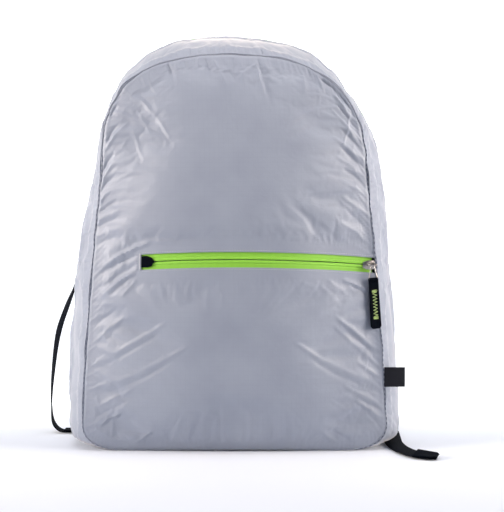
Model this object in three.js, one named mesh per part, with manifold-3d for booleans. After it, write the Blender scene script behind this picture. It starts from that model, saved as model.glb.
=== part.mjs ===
// A packable nylon backpack, stuffed and standing on its base.
// Millimetres, +Z up, the front facing -Y, the origin under the middle of the base on the floor.
import * as THREE from "three";
import { mergeVertices } from "three/addons/utils/BufferGeometryUtils.js";
import Module from "manifold-3d";

const wasm = await Module();
wasm.setup();

// The bag's outline where the front and back panels are sewn to the band between them.
const baseHalfWidth = 162;
const shoulderHalfWidth = 140.5;
const sideBow = 2;
const cornerWidth = 58;
const cornerHeight = 32;
const cornerPower = 2.8;
const cornerSpread = 0.35;
const shoulderHeight = 300;
const seamHeight = 421;
const archPower = 2.6;
const topLean = -5;

// How deep the band is, and how far each part of the filled bag swells.
const baseDepth = 132;
const topDepth = 112;
const taperFrom = 0.4;
const frontSwell = 40;
const backSwell = 20;
const bandSwell = 27;

// Cloth, webbing and clearances.
const cloth = 1.2;
const seamGap = 0.3;
const webbingThickness = 1.5;
const webbingWidth = 20;
const strapThickness = 2.4;

// The band's parts: side panels below, a zipped gusset over the arch above.
const sideSeamHeight = 186;
const mainZipFront = 0.56;
const mainZipTapeWidth = 26;
const mainZipSliderSpread = 11;

// The front pocket's zip.
const zipHeight = 205;
const zipSag = 7.8;
const zipWindowLeft = -97;
const zipWindowHeight = 16;
const zipTapeHem = 4;
const zipTapeGap = 0.8;
const zipTapeBehind = 0.4;
const endTabLength = 13.5;
const endTabHeight = 11.5;

// The pocket zip's slider, its wire bail and its pull of folded webbing.
const sliderFromSeam = 7;
const sliderLength = 13.4;
const sliderGap = 0.7;
const sliderWidth = 9.4;
const sliderBackShift = -1.6;
const crownShift = 2.2;
const sliderPlate = 1.3;
const sliderPost = 1.8;
const crownLength = 10;
const crownWidth = 2.6;
const crownBar = 1.3;
const crownBarHeight = 1.4;
const crownWindow = 3.9;
const bailWire = 1.3;
const bailClearance = 0.35;
const bailDrop = 12;
const bailTopHalfWidth = 2.2;
const pullLength = 52;
const pullTopWidth = 10.4;
const pullBottomWidth = 12;
const pullThickness = 2.6;
const pullLean = 3.9;

const pullMiddleHeight = 160;

// The label in the right seam.
const labelLength = 22;
const labelHeight = 21;
const labelThickness = 1.2;
const labelCentreHeight = 78.5;

// Shoulder straps, ladder locks and the loop at the top of the back.
const strapTopOffset = 60;
const strapTopHeight = 388;
const strapTopWidth = 54;
const lockWidth = 29;
const lockBar = 4;
const lockSlot = 6;
const lockThickness = 3.5;
const lockHeight = 212;
const lockOffset = { left: -124, right: 104 };
const lockStandOff = 7.5;
const tailLength = 95;
const haulHalfSpan = 22;
const haulDrop = 40;

// Down each shoulder strap: the share of its way, its height off the back and its share of strapTopWidth.
const strapRows = [
  [0, 1.2, 1],
  [0.14, 5, 1],
  [0.32, 12, 0.96],
  [0.5, 17, 0.9],
  [0.66, 16.5, 0.8],
  [0.78, 13, 0.55],
];

// How finely each piece is divided.
const panelColumns = 24;
const panelRows = 30;
const backColumns = 12;
const backRows = 16;
const archSteps = 64;
const sideSteps = 12;

// How far the band swells past the outline, as shares of bandSwell on each side of the bag,
// against the share of the way from the middle of the bottom up to the top.
const swellColumns = ["way", "left", "right"];
const bandSwells = [
  [0, 0, 0],
  [0.15, 0, 0],
  [0.175, 0.5, 0.5],
  [0.2, 1.1, 1.15],
  [0.225, 1.15, 1.2],
  [0.25, 0.86, 0.88],
  [0.27, 0.8, 0.82],
  [0.36, 0.78, 0.72],
  [0.5, 0.76, 0.63],
  [0.56, 0.73, 0.64],
  [0.63, 0.52, 0.7],
  [0.7, 0.3, 0.62],
  [0.75, 0.18, 0.4],
  [0.8, 0.2, 0.24],
  [0.84, 0.48, 0.28],
  [0.88, 0.84, 0.6],
  [0.92, 0.95, 0.94],
  [0.96, 0.95, 0.93],
  [1, 0.9, 0.9],
];

// Creases pulled into the front panel. Ends are shares of baseHalfWidth and seamHeight,
// width is a share of creaseWidth and lift a share of creaseLift; a negative lift is a hollow.
const creaseWidth = 12;
const creaseLift = 3.4;
const creaseColumns = ["fromX", "fromZ", "toX", "toZ", "width", "lift"];
const frontCreases = [
  // pulled from the pocket zip's left end to the left seam
  [-0.63, 0.5, -0.94, 0.438, 1.0, 1.0],
  [-0.66, 0.478, -0.96, 0.389, 1.0, 0.9],
  [-0.65, 0.43, -0.86, 0.36, 1.0, 0.7],
  [-0.755, 0.585, -0.93, 0.555, 0.9, -0.6],
  // slanting up from the left seam
  [-0.722, 0.697, -0.9, 0.623, 1.0, 0.9],
  [-0.768, 0.76, -0.87, 0.71, 0.9, 0.7],
  [-0.782, 0.822, -0.85, 0.77, 0.9, 0.6],
  [-0.616, 0.91, -0.444, 0.786, 1.3, 0.5],
  [-0.689, 0.888, -0.583, 0.766, 1.2, 0.4],
  // hanging from the top seam
  [-0.106, 0.985, -0.01, 0.9, 0.9, 0.5],
  [0.146, 0.985, 0.192, 0.857, 0.9, 0.8],
  [0.437, 0.958, 0.477, 0.87, 1.0, 0.6],
  [0.543, 0.955, 0.702, 0.842, 1.1, -0.8],
  // slanting down to the right seam above the zip
  [0.649, 0.905, 0.808, 0.816, 1.0, 0.9],
  [0.649, 0.85, 0.841, 0.748, 1.0, 0.9],
  [0.663, 0.796, 0.881, 0.684, 1.0, 0.8],
  [0.676, 0.748, 0.894, 0.651, 1.0, 0.6],
  [0.709, 0.616, 0.92, 0.53, 1.0, 0.8],
  // slanting down to the right seam below the zip
  [0.5, 0.42, 0.8, 0.355, 1.0, 0.5],
  [0.47, 0.385, 0.84, 0.255, 1.2, 0.8],
  [0.431, 0.33, 0.95, 0.166, 1.3, 0.8],
  [0.57, 0.204, 0.96, 0.115, 1.1, 0.7],
];

// Gathers in the gusset, side by side along the front seam.
const gatherPitch = 26;
const gatherLift = 1.1;
const gatherReach = 0.3;

const lerp = (a, b, t) => a + (b - a) * t;
const clamp01 = (t) => Math.min(1, Math.max(0, t));
const smooth = (t) => clamp01(t) ** 2 * (3 - 2 * clamp01(t));
const range = (from, to, steps) =>
  Array.from({ length: steps + 1 }, (_, i) => lerp(from, to, i / steps));
// Values from 0 to 1 that crowd together at both ends, where the cloth turns fastest.
const crowded = (steps) =>
  range(0, 1, steps).map((t) => lerp(t, (1 - Math.cos(Math.PI * t)) / 2, 0.6));
const vector = (x, y, z) => new THREE.Vector3(x, y, z);

const leanAt = (z) => topLean * smooth((z - shoulderHeight) / (seamHeight - shoulderHeight));
const halfDepth = (z) =>
  lerp(baseDepth, topDepth, smooth((z / seamHeight - taperFrom) / (1 - taperFrom))) / 2;

// The outline's half width at a height.
function halfWidth(z) {
  if (z < cornerHeight) {
    const down = clamp01(1 - z / cornerHeight);
    return baseHalfWidth - cornerWidth * (1 - (1 - down ** cornerPower) ** (1 / cornerPower));
  }
  if (z < shoulderHeight) {
    const rise = (z - cornerHeight) / (shoulderHeight - cornerHeight);
    return lerp(baseHalfWidth, shoulderHalfWidth, rise) + sideBow * 4 * rise * (1 - rise);
  }
  const up = clamp01((z - shoulderHeight) / (seamHeight - shoulderHeight));
  return shoulderHalfWidth * (1 - up ** archPower) ** (1 / archPower);
}

// The right half of the outline, from the middle of the bottom to the top of the arch.
const halfOutline = (() => {
  const flat = baseHalfWidth - cornerWidth;
  const quarter = (width, height, power, steps) =>
    range(0, Math.PI / 2, steps).map((angle) => [
      width * Math.max(0, Math.cos(angle)) ** (2 / power),
      height * Math.sin(angle) ** (2 / power),
    ]);
  const corner = quarter(cornerWidth, cornerHeight, cornerPower, 60)
    .reverse()
    .map(([x, z]) => [flat + x, cornerHeight - z]);
  const side = range(cornerHeight, shoulderHeight, 60).slice(1).map((z) => [halfWidth(z), z]);
  const arch = quarter(shoulderHalfWidth, seamHeight - shoulderHeight, archPower, 160)
    .slice(1)
    .map(([x, z]) => [x, shoulderHeight + z]);
  const points = [[0, 0], ...corner, ...side, ...arch].map(([x, z]) => new THREE.Vector2(x, z));
  const along = [0];
  points.slice(1).forEach((p, i) => along.push(along[i] + p.distanceTo(points[i])));
  return { points, along, length: along.at(-1) };
})();

// The point at a share of the half outline's length.
function halfOutlineAt(share) {
  const { points, along, length } = halfOutline;
  const target = clamp01(share) * length;
  const i = Math.max(1, along.findIndex((a) => a >= target));
  return points[i - 1].clone().lerp(points[i], (target - along[i - 1]) / (along[i] - along[i - 1]));
}

// The share of the half outline at which it reaches a height.
function shareAtHeight(z) {
  const { points, along, length } = halfOutline;
  const i = points.findIndex((p) => p.y >= z && p.x > 0);
  const t = (z - points[i - 1].y) / (points[i].y - points[i - 1].y);
  return lerp(along[i - 1], along[i], t) / length;
}

// The whole outline: 0 at the middle of the bottom, up the right side to 1 at the top, down the left to 2.
function outline(loop) {
  const right = loop <= 1;
  const p = halfOutlineAt(right ? loop : 2 - loop);
  return new THREE.Vector2(right ? p.x : -p.x, p.y);
}

// The outline's point and outward direction.
function outlineFrame(loop) {
  const step = 0.002;
  const p = outline(loop);
  const before = outline(Math.max(0, loop - step));
  const after = outline(Math.min(2, loop + step));
  const along = after.sub(before).normalize();
  return { p, out: new THREE.Vector2(along.y, -along.x) };
}

// How far one crease lifts the cloth at a point of the front panel.
function creaseLiftAt(row, x, z) {
  const crease = Object.fromEntries(creaseColumns.map((name, i) => [name, row[i]]));
  const from = new THREE.Vector2(crease.fromX * baseHalfWidth, crease.fromZ * seamHeight);
  const to = new THREE.Vector2(crease.toX * baseHalfWidth, crease.toZ * seamHeight);
  const run = to.clone().sub(from);
  const offset = new THREE.Vector2(x, z).sub(from);
  const t = offset.dot(run) / run.lengthSq();
  const away = Math.abs(offset.cross(run)) / run.length() / (crease.width * creaseWidth);
  const taper = smooth(clamp01(t + 0.15) * 3) * smooth(clamp01(1.15 - t) * 3);
  return crease.lift * creaseLift * taper * (1 - 0.7 * away ** 2) * Math.exp(-(away ** 2));
}

const zipLine = (x) => zipHeight - zipSag * (x / halfWidth(zipHeight)) ** 2;

// The front panel's creases, which fade out at the seam and around the zip.
function frontCreaseAt(x, z) {
  const nearSeam = smooth((1 - Math.abs(x) / halfWidth(z)) * 9) * smooth((1 - z / seamHeight) * 16);
  const nearZip = smooth((Math.abs(z - zipLine(x)) - zipWindowHeight / 2 - 3) / 14);
  const total = frontCreases.reduce((sum, row) => sum + creaseLiftAt(row, x, z), 0);
  return total * nearSeam * (x > zipWindowLeft - 16 ? nearZip : 1);
}

// How full a panel is across and up its height, from 0 at the seam to 1.
// Towards the right seam, where the pocket zip's pull hangs, the cloth stays flatter.
const fillAcross = (share, nearPull) => (1 - Math.min(1, share ** 2)) ** (0.95 + 0.42 * nearPull);
const fillUp = (share) => (1 - Math.abs(2 * clamp01(share) ** 0.85 - 1) ** 2.6) ** 0.7;

function panelDepth(x, z, swell) {
  const share = x / Math.max(1, halfWidth(z));
  const nearPull = smooth(share * 2.2 - 0.6) * smooth(1.9 - Math.abs(z - pullMiddleHeight) / 60);
  return halfDepth(z) + swell * fillAcross(share, nearPull) * fillUp(z / seamHeight);
}

const frontPoint = (x, z) =>
  vector(x + leanAt(z), -panelDepth(x, z, frontSwell) - frontCreaseAt(x, z), z);
const backPoint = (x, z) => vector(x + leanAt(z), panelDepth(x, z, backSwell), z);

// The outward normal of a panel, from its neighbouring points.
function panelNormal(pointAt, x, z, facing) {
  const step = 1.5;
  const across = pointAt(x + step, z).sub(pointAt(x - step, z));
  const up = pointAt(x, z + step).sub(pointAt(x, z - step));
  return across.cross(up).normalize().multiplyScalar(facing);
}

// The band's swell at a place on the outline, read smoothly from its table.
function swellShare(loop) {
  const side = loop <= 1 ? "right" : "left";
  const way = loop <= 1 ? loop : 2 - loop;
  const value = (i, name) => bandSwells[i][swellColumns.indexOf(name)];
  const i = Math.max(1, bandSwells.findIndex((_, k) => value(k, "way") >= way));
  const t = (way - value(i - 1, "way")) / (value(i, "way") - value(i - 1, "way"));
  return lerp(value(i - 1, side), value(i, side), smooth(t));
}

// A point of the band between the panels: across runs from 0 at the front seam to 1 at the back seam.
// Below the corners the band spreads sideways along the floor, and its wall, which is thick outwards,
// rests on it.
function bandPoint(loop, across, lift = 0) {
  const { p, out } = outlineFrame(loop);
  const belly = (1 - (2 * across - 1) ** 2) ** 0.8;
  const rise = bandSwell * swellShare(loop) * belly + lift;
  const sideways = out.y < 0 ? Math.sign(out.x) * Math.abs(out.x) ** cornerSpread : out.x;
  const z = p.y + Math.max(0, out.y) * rise + Math.max(0, -out.y) ** 4 * cloth;
  return vector(p.x + sideways * rise + leanAt(p.y), halfDepth(p.y) * (2 * across - 1), z);
}

// Gathers along the gusset's front seam, none of them at the seam itself.
function gatherAt(loop, across) {
  const wave = Math.cos((2 * Math.PI * loop * halfOutline.length) / gatherPitch);
  const reach = smooth(across / 0.06) * Math.exp(-across / gatherReach);
  return gatherLift * wave * reach;
}

// A closed geometry from its points and its triangles.
function geometryOf(points, triangles) {
  const positions = new Float32Array(points.flatMap((p) => [p.x, p.y, p.z]));
  return new THREE.BufferGeometry()
    .setAttribute("position", new THREE.BufferAttribute(positions, 3))
    .setIndex(triangles);
}

// A wall of cloth: pointAt gives its outer face, whose normal is across the columns times up the rows.
// A normal that isn't given comes from the neighbouring points, and has no part along the depth on a rim,
// so that pieces on both sides of a seam meet edge to edge.
function clothWall(pointAt, columns, rows, normalAt) {
  const wide = columns.length;
  const high = rows.length;
  const outer = rows.map((v) => columns.map((u) => pointAt(u, v)));
  const ownNormal = (i, j) => {
    const line = outer[j];
    const across = line[Math.min(wide - 1, i + 1)].clone().sub(line[Math.max(0, i - 1)]);
    const up = outer[Math.min(high - 1, j + 1)][i].clone().sub(outer[Math.max(0, j - 1)][i]);
    const normal = across.cross(up).normalize();
    return j === 0 || j === high - 1 ? normal.setY(0).normalize() : normal;
  };
  const inner = outer.map((line, j) =>
    line.map((p, i) => {
      const normal = normalAt ? normalAt(columns[i], rows[j]) : ownNormal(i, j);
      return p.clone().addScaledVector(normal, -cloth);
    }),
  );
  const points = [...outer.flat(), ...inner.flat()];
  const at = (i, j, side) => side * wide * high + j * wide + i;
  const triangles = [];
  const quad = (a, b, c, d) => triangles.push(a, b, c, a, c, d);
  for (let j = 0; j + 1 < high; j++) {
    for (let i = 0; i + 1 < wide; i++) {
      quad(at(i, j, 0), at(i + 1, j, 0), at(i + 1, j + 1, 0), at(i, j + 1, 0));
      quad(at(i, j, 1), at(i, j + 1, 1), at(i + 1, j + 1, 1), at(i + 1, j, 1));
    }
  }
  for (let i = 0; i + 1 < wide; i++) {
    quad(at(i, 0, 1), at(i + 1, 0, 1), at(i + 1, 0, 0), at(i, 0, 0));
    quad(at(i, high - 1, 0), at(i + 1, high - 1, 0), at(i + 1, high - 1, 1), at(i, high - 1, 1));
  }
  for (let j = 0; j + 1 < high; j++) {
    quad(at(0, j, 0), at(0, j + 1, 0), at(0, j + 1, 1), at(0, j, 1));
    quad(at(wide - 1, j, 1), at(wide - 1, j + 1, 1), at(wide - 1, j + 1, 0), at(wide - 1, j, 0));
  }
  return geometryOf(points, triangles);
}

// A flat strap through stations, each with its centre, its width and the direction of its width.
function ribbon(stations, thickness) {
  const points = [];
  stations.forEach(({ centre, across, width }, i) => {
    const before = stations[Math.max(0, i - 1)].centre;
    const after = stations[Math.min(stations.length - 1, i + 1)].centre;
    const along = after.clone().sub(before).normalize();
    const side = across.clone().addScaledVector(along, -across.dot(along)).normalize();
    const face = along.clone().cross(side).normalize();
    for (const [a, b] of [[-1, -1], [1, -1], [1, 1], [-1, 1]]) {
      points.push(
        centre.clone()
          .addScaledVector(side, (a * width) / 2)
          .addScaledVector(face, (b * thickness) / 2),
      );
    }
  });
  const triangles = [];
  const quad = (a, b, c, d) => triangles.push(a, b, c, a, c, d);
  for (let i = 0; i + 1 < stations.length; i++) {
    for (let k = 0; k < 4; k++) {
      const next = (k + 1) % 4;
      quad(4 * i + k, 4 * i + next, 4 * i + 4 + next, 4 * i + 4 + k);
    }
  }
  const last = 4 * (stations.length - 1);
  quad(3, 2, 1, 0);
  quad(last, last + 1, last + 2, last + 3);
  return geometryOf(points, triangles);
}

// Stations spaced along a smooth curve through a few chosen ones.
function smoothStations(chosen, steps) {
  const curve = new THREE.CatmullRomCurve3(chosen.map((s) => s.centre), false, "centripetal");
  return range(0, 1, steps).map((t) => {
    const place = t * (chosen.length - 1);
    const i = Math.min(chosen.length - 2, Math.floor(place));
    const share = place - i;
    return {
      centre: curve.getPoint(t),
      across: chosen[i].across.clone().lerp(chosen[i + 1].across, share).normalize(),
      width: lerp(chosen[i].width, chosen[i + 1].width, share),
    };
  });
}

function solidOf(geometry) {
  const bare = geometry.clone();
  bare.deleteAttribute("normal");
  bare.deleteAttribute("uv");
  const merged = mergeVertices(bare, 1e-4);
  const vertProperties = merged.attributes.position.array;
  return new wasm.Manifold(
    new wasm.Mesh({ numProp: 3, vertProperties, triVerts: new Uint32Array(merged.index.array) }),
  );
}

function geometryFromSolid(solid) {
  const { vertProperties, triVerts } = solid.getMesh();
  return new THREE.BufferGeometry()
    .setAttribute("position", new THREE.BufferAttribute(new Float32Array(vertProperties), 3))
    .setIndex(new THREE.BufferAttribute(new Uint32Array(triVerts), 1));
}

const cut = (geometry, ...tools) =>
  geometryFromSolid(tools.reduce((s, tool) => s.subtract(solidOf(tool)), solidOf(geometry)));
const join = (...pieces) =>
  geometryFromSolid(pieces.map(solidOf).reduce((all, piece) => all.add(piece)));

// A box given by its lowest and highest corners.
function boxBetween(low, high) {
  const size = high.clone().sub(low);
  const middle = low.clone().add(high).multiplyScalar(0.5);
  return new THREE.BoxGeometry(size.x, size.y, size.z).translate(middle.x, middle.y, middle.z);
}

// A round wire bent along a closed curve.
function wireLoop(curve, steps, sides, radius) {
  const frames = curve.computeFrenetFrames(steps, true);
  const points = [];
  for (let i = 0; i < steps; i++) {
    const centre = curve.getPointAt(i / steps);
    for (let k = 0; k < sides; k++) {
      const angle = (2 * Math.PI * k) / sides;
      points.push(
        centre.clone()
          .addScaledVector(frames.normals[i], radius * Math.cos(angle))
          .addScaledVector(frames.binormals[i], radius * Math.sin(angle)),
      );
    }
  }
  const triangles = [];
  for (let i = 0; i < steps; i++) {
    for (let k = 0; k < sides; k++) {
      const [a, b] = [i * sides + k, i * sides + ((k + 1) % sides)];
      const [c, d] = [((i + 1) % steps) * sides + k, ((i + 1) % steps) * sides + ((k + 1) % sides)];
      triangles.push(a, b, d, a, d, c);
    }
  }
  return geometryOf(points, triangles);
}

const finishes = {
  nylon: { color: 0xb4b6c4, roughness: 0.55, metalness: 0 },
  green: { color: 0x86d62c, roughness: 0.7, metalness: 0 },
  black: { color: 0x0d1220, roughness: 0.8, metalness: 0 },
  plastic: { color: 0x14161a, roughness: 0.45, metalness: 0 },
  nickel: { color: 0xc9c4c2, roughness: 0.25, metalness: 1 },
};
const backpack = new THREE.Group();

function addPiece(name, geometry, finish, parent = backpack) {
  const mesh = new THREE.Mesh(geometry, new THREE.MeshStandardMaterial(finishes[finish]));
  mesh.name = name;
  parent.add(mesh);
  return mesh;
}

// Points of a panel on a grid whose four sides follow the outline, corner to corner.
const cornerShare = shareAtHeight(cornerHeight * 0.3);
const archShare = shareAtHeight(lerp(shoulderHeight, seamHeight, 0.76));
const gridSides = {
  bottom: (t) => (lerp(-cornerShare, cornerShare, t) + 2) % 2,
  top: (t) => lerp(2 - archShare, archShare, t),
  right: (t) => lerp(cornerShare, archShare, t),
  left: (t) => 2 - lerp(cornerShare, archShare, t),
};
function panelGrid(u, v) {
  const [bottom, top, right, left] = ["bottom", "top", "right", "left"].map(
    (side) => (t) => outline(gridSides[side](t)),
  );
  const sides = left(v).multiplyScalar(1 - u).add(right(v).multiplyScalar(u));
  const ends = bottom(u).multiplyScalar(1 - v).add(top(u).multiplyScalar(v));
  const corners = bottom(0).multiplyScalar((1 - u) * (1 - v))
    .add(bottom(1).multiplyScalar(u * (1 - v)))
    .add(top(0).multiplyScalar((1 - u) * v))
    .add(top(1).multiplyScalar(u * v));
  return sides.add(ends).sub(corners);
}

// Which way the panel's wall is thick: square to its face, and across the seam along its rim.
function panelWallNormal(pointAt, u, v, facing) {
  const rim = v === 0 ? "bottom" : v === 1 ? "top" : u === 0 ? "left" : u === 1 ? "right" : null;
  if (rim) {
    const { out } = outlineFrame(gridSides[rim](v === 0 || v === 1 ? u : v));
    return vector(out.x, 0, out.y);
  }
  const p = panelGrid(u, v);
  return panelNormal(pointAt, p.x, p.y, facing);
}

// The front panel, with the pocket zip's window cut from near its left side through its right seam.
function zipWindow() {
  const edge = (side) =>
    range(zipWindowLeft, baseHalfWidth + bandSwell, 30).map((x) => {
      const reach = Math.min(x, halfWidth(zipHeight));
      return new THREE.Vector2(x, zipLine(reach) + (side * zipWindowHeight) / 2);
    });
  const shape = new THREE.Shape([...edge(-1), ...edge(1).reverse()]);
  const depth = baseDepth / 2 + frontSwell + 20;
  return new THREE.ExtrudeGeometry(shape, { depth, bevelEnabled: false }).rotateX(Math.PI / 2);
}

function addPanels() {
  const front = clothWall(
    (u, v) => {
      const p = panelGrid(u, v);
      return frontPoint(p.x, p.y);
    },
    crowded(panelColumns),
    crowded(panelRows),
    (u, v) => panelWallNormal(frontPoint, u, v, 1),
  );
  addPiece("front_panel", cut(front, zipWindow()), "nylon");
  const back = clothWall(
    (u, v) => {
      const p = panelGrid(1 - u, v);
      return backPoint(p.x, p.y);
    },
    crowded(backColumns),
    crowded(backRows),
    (u, v) => panelWallNormal(backPoint, 1 - u, v, -1),
  );
  addPiece("back_panel", back, "nylon");
}

// The band: the base, two side panels, and over the arch a gusset split by the main zip.
function addBand() {
  const flatShare = (baseHalfWidth - cornerWidth) / halfOutline.length;
  const sideTop = shareAtHeight(sideSeamHeight);
  const gapShare = seamGap / halfOutline.length;
  const depthGap = seamGap / baseDepth;
  const flat = baseHalfWidth - cornerWidth - seamGap;
  const half = halfDepth(0) - seamGap;
  addPiece("base_panel", boxBetween(vector(-flat, -half, 0), vector(flat, half, cloth)), "nylon");

  const bandRows = range(depthGap, 1 - depthGap, 7);
  const band = (lift) => (loop, across) => bandPoint(loop, across, lift(loop, across));
  const none = () => 0;
  const right = range(flatShare, sideTop - gapShare, sideSteps);
  const left = range(2 - sideTop + gapShare, 2 - flatShare, sideSteps);
  addPiece("side_panel_right", clothWall(band(none), right, bandRows), "nylon");
  addPiece("side_panel_left", clothWall(band(none), left, bandRows), "nylon");

  const arch = range(sideTop, 2 - sideTop, archSteps);
  const zipBack = mainZipFront + mainZipTapeWidth / topDepth;
  const frontRows = [depthGap, 0.05, 0.13, 0.26, 0.41, mainZipFront - depthGap];
  addPiece("gusset_front", clothWall(band(gatherAt), arch, frontRows), "nylon");
  const zipRows = [mainZipFront, zipBack];
  addPiece("main_zip", clothWall(band(none), arch, zipRows), "green");
  const backRowsAcross = [zipBack + depthGap, (zipBack + 1) / 2, 1 - depthGap];
  addPiece("gusset_back", clothWall(band(none), arch, backRowsAcross), "nylon");
}

// The two tapes of the pocket zip lie behind the window's edges and meet along its middle.
const tapeInset = cloth + zipTapeBehind;
function tapePoint(x, rise) {
  const z = zipLine(x) + rise;
  return frontPoint(x, z).addScaledVector(panelNormal(frontPoint, x, z, 1), -tapeInset);
}

// A frame on the tape: x along the zip, y into the bag, z up.
function tapeFrame(x) {
  const step = 4;
  const along = tapePoint(x + step, 0).sub(tapePoint(x - step, 0)).setZ(0).normalize();
  const up = vector(0, 0, 1);
  const group = new THREE.Group();
  group.matrixAutoUpdate = false;
  group.matrix.makeBasis(along, up.clone().cross(along), up).setPosition(tapePoint(x, 0));
  backpack.add(group);
  return group;
}

function addPocketZip() {
  const sliderX = halfWidth(zipHeight) - sliderFromSeam;
  const xs = range(zipWindowLeft - zipTapeHem, halfWidth(zipHeight) - 3.2, 20);
  const slider = tapeFrame(sliderX);
  const clearance = sliderPost / 2 + seamGap;
  const notch = boxBetween(vector(-clearance, -9, -clearance), vector(clearance, 9, clearance));
  notch.applyMatrix4(slider.matrix);
  const reach = zipWindowHeight / 2 + zipTapeHem;
  for (const [name, low, high] of [
    ["pocket_zip_tape_upper", zipTapeGap / 2, reach],
    ["pocket_zip_tape_lower", -reach, -zipTapeGap / 2],
  ]) {
    const tape = clothWall((x, rise) => tapePoint(x, rise), xs, range(low, high, 2));
    addPiece(name, cut(tape, notch), "green");
  }
  addEndTab();
  addSlider(slider);
}

// The black tab folded over the zip's left end, cut to a blunt point.
function addEndTab() {
  const left = zipWindowLeft + seamGap;
  const half = endTabHeight / 2;
  const lift = seamGap + cloth;
  const point = (x, rise) => {
    const share = (x - left) / endTabLength;
    const z = zipLine(x) + rise * lerp(1, 0.45, smooth((share - 0.55) / 0.45));
    return frontPoint(x, z).addScaledVector(panelNormal(frontPoint, x, z, 1), lift - tapeInset);
  };
  const tab = clothWall(point, range(left, left + endTabLength, 6), range(-half, half, 3));
  addPiece("pocket_zip_end_tab", tab, "black");
}

// The slider: a plate on each side of the tapes, the post between them, and the crown that holds the bail.
function sliderBody() {
  const plateShape = (length, width) => {
    const nose = width * 0.32;
    return new THREE.Shape([
      new THREE.Vector2(-length / 2, -nose),
      new THREE.Vector2(-length / 6, -width / 2),
      new THREE.Vector2(length / 2 - 1.5, -width / 2),
      new THREE.Vector2(length / 2, -width / 2 + 2),
      new THREE.Vector2(length / 2, width / 2 - 2),
      new THREE.Vector2(length / 2 - 1.5, width / 2),
      new THREE.Vector2(-length / 6, width / 2),
      new THREE.Vector2(-length / 2, nose),
    ]);
  };
  const plate = (y, length, width) =>
    new THREE.ExtrudeGeometry(plateShape(length, width), { depth: sliderPlate, bevelEnabled: false })
      .rotateX(Math.PI / 2)
      .translate(0, y, 0);
  const top = plate(-sliderGap, sliderLength, sliderWidth);
  const bottom = plate(cloth + sliderGap + sliderPlate, sliderLength * 0.62, sliderWidth * 0.8)
    .translate(sliderBackShift, 0, 0);
  const halfPost = sliderPost / 2;
  const post = boxBetween(
    vector(-halfPost, -sliderGap - sliderPlate / 2, -halfPost),
    vector(halfPost, cloth + sliderGap + sliderPlate / 2, halfPost),
  );
  const faceY = -sliderGap - sliderPlate;
  const [crownLeft, crownRight] = [crownShift - crownLength / 2, crownShift + crownLength / 2];
  const crown = boxBetween(
    vector(crownLeft, faceY - crownWindow - crownBar, -crownWidth / 2),
    vector(crownRight, faceY + sliderPlate / 2, crownWidth / 2),
  );
  const eye = boxBetween(
    vector(crownLeft + crownBar, faceY - crownWindow, -crownWidth),
    vector(crownRight - crownBar, faceY, crownWidth),
  );
  // The bar is narrower than the crown's ends, which leaves room for the bail to swing round it.
  const beside = (side) => {
    const [near, far] = [(side * crownBarHeight) / 2, side * crownWidth];
    return boxBetween(
      vector(crownLeft + crownBar, faceY - crownWindow - 2 * crownBar, Math.min(near, far)),
      vector(crownRight - crownBar, faceY - crownWindow / 2, Math.max(near, far)),
    );
  };
  return join(top, post, bottom, cut(crown, eye, beside(-1), beside(1)));
}

// The bail hangs round the crown's bar, its right leg in front of the bar and its left leg behind.
function bailRoute() {
  const clear = crownBar / 2 + bailClearance + bailWire / 2;
  const foot = pullTopWidth / 2 + bailClearance + bailWire / 2;
  const side = bailTopHalfWidth;
  return new THREE.CatmullRomCurve3(
    [
      vector(0.45 * side, -0.8 * clear, 1.15 * clear),
      vector(side, -clear, 0.1 * clear),
      vector(lerp(side, foot, 0.55), -0.7 * clear, -bailDrop * 0.5),
      vector(foot, -0.15 * clear, -bailDrop + 1.4),
      vector(foot - 1.2, 0, -bailDrop),
      vector(0, 0, -bailDrop),
      vector(1.2 - foot, 0, -bailDrop),
      vector(-foot, 0.15 * clear, -bailDrop + 1.4),
      vector(-lerp(side, foot, 0.55), 0.7 * clear, -bailDrop * 0.5),
      vector(-side, clear, 0.1 * clear),
      vector(-0.45 * side, 0.8 * clear, 1.15 * clear),
    ],
    true,
    "centripetal",
  );
}

// The pull: webbing folded round the bail's foot and sewn flat below it.
function pullTab() {
  const eye = bailWire / 2 + bailClearance;
  const wall = 1.1;
  const radius = eye + wall;
  const half = pullThickness / 2;
  const neck = -bailDrop - Math.sqrt(radius ** 2 - half ** 2);
  const end = -bailDrop - pullLength;
  const shape = new THREE.Shape();
  const start = Math.atan2(neck + bailDrop, half);
  shape.absarc(0, -bailDrop, radius, start, Math.PI - start, false);
  shape.lineTo(-half, end);
  shape.lineTo(half, end);
  shape.closePath();
  const hole = new THREE.Path();
  hole.absarc(0, -bailDrop, eye, 0, 2 * Math.PI, true);
  shape.holes.push(hole);
  const tab = new THREE.ExtrudeGeometry(shape, { depth: 1, bevelEnabled: false, curveSegments: 7 })
    .translate(0, 0, -0.5)
    .applyMatrix4(new THREE.Matrix4().makeBasis(vector(0, 1, 0), vector(0, 0, 1), vector(1, 0, 0)));
  const places = tab.getAttribute("position");
  for (let i = 0; i < places.count; i++) {
    const down = clamp01((-bailDrop - places.getZ(i)) / pullLength);
    places.setX(i, places.getX(i) * lerp(pullTopWidth, pullBottomWidth, down));
  }
  return tab;
}

function addSlider(slider) {
  addPiece("pocket_zip_slider", sliderBody(), "nickel", slider);
  const pull = new THREE.Group();
  pull.position.set(crownShift, -sliderGap - sliderPlate - crownWindow - crownBar / 2, 0);
  pull.rotation.y = -THREE.MathUtils.degToRad(pullLean);
  slider.add(pull);
  addPiece("pocket_zip_bail", wireLoop(bailRoute(), 44, 6, bailWire / 2), "nickel", pull);
  addPiece("pocket_zip_pull", pullTab(), "black", pull);
}

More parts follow.
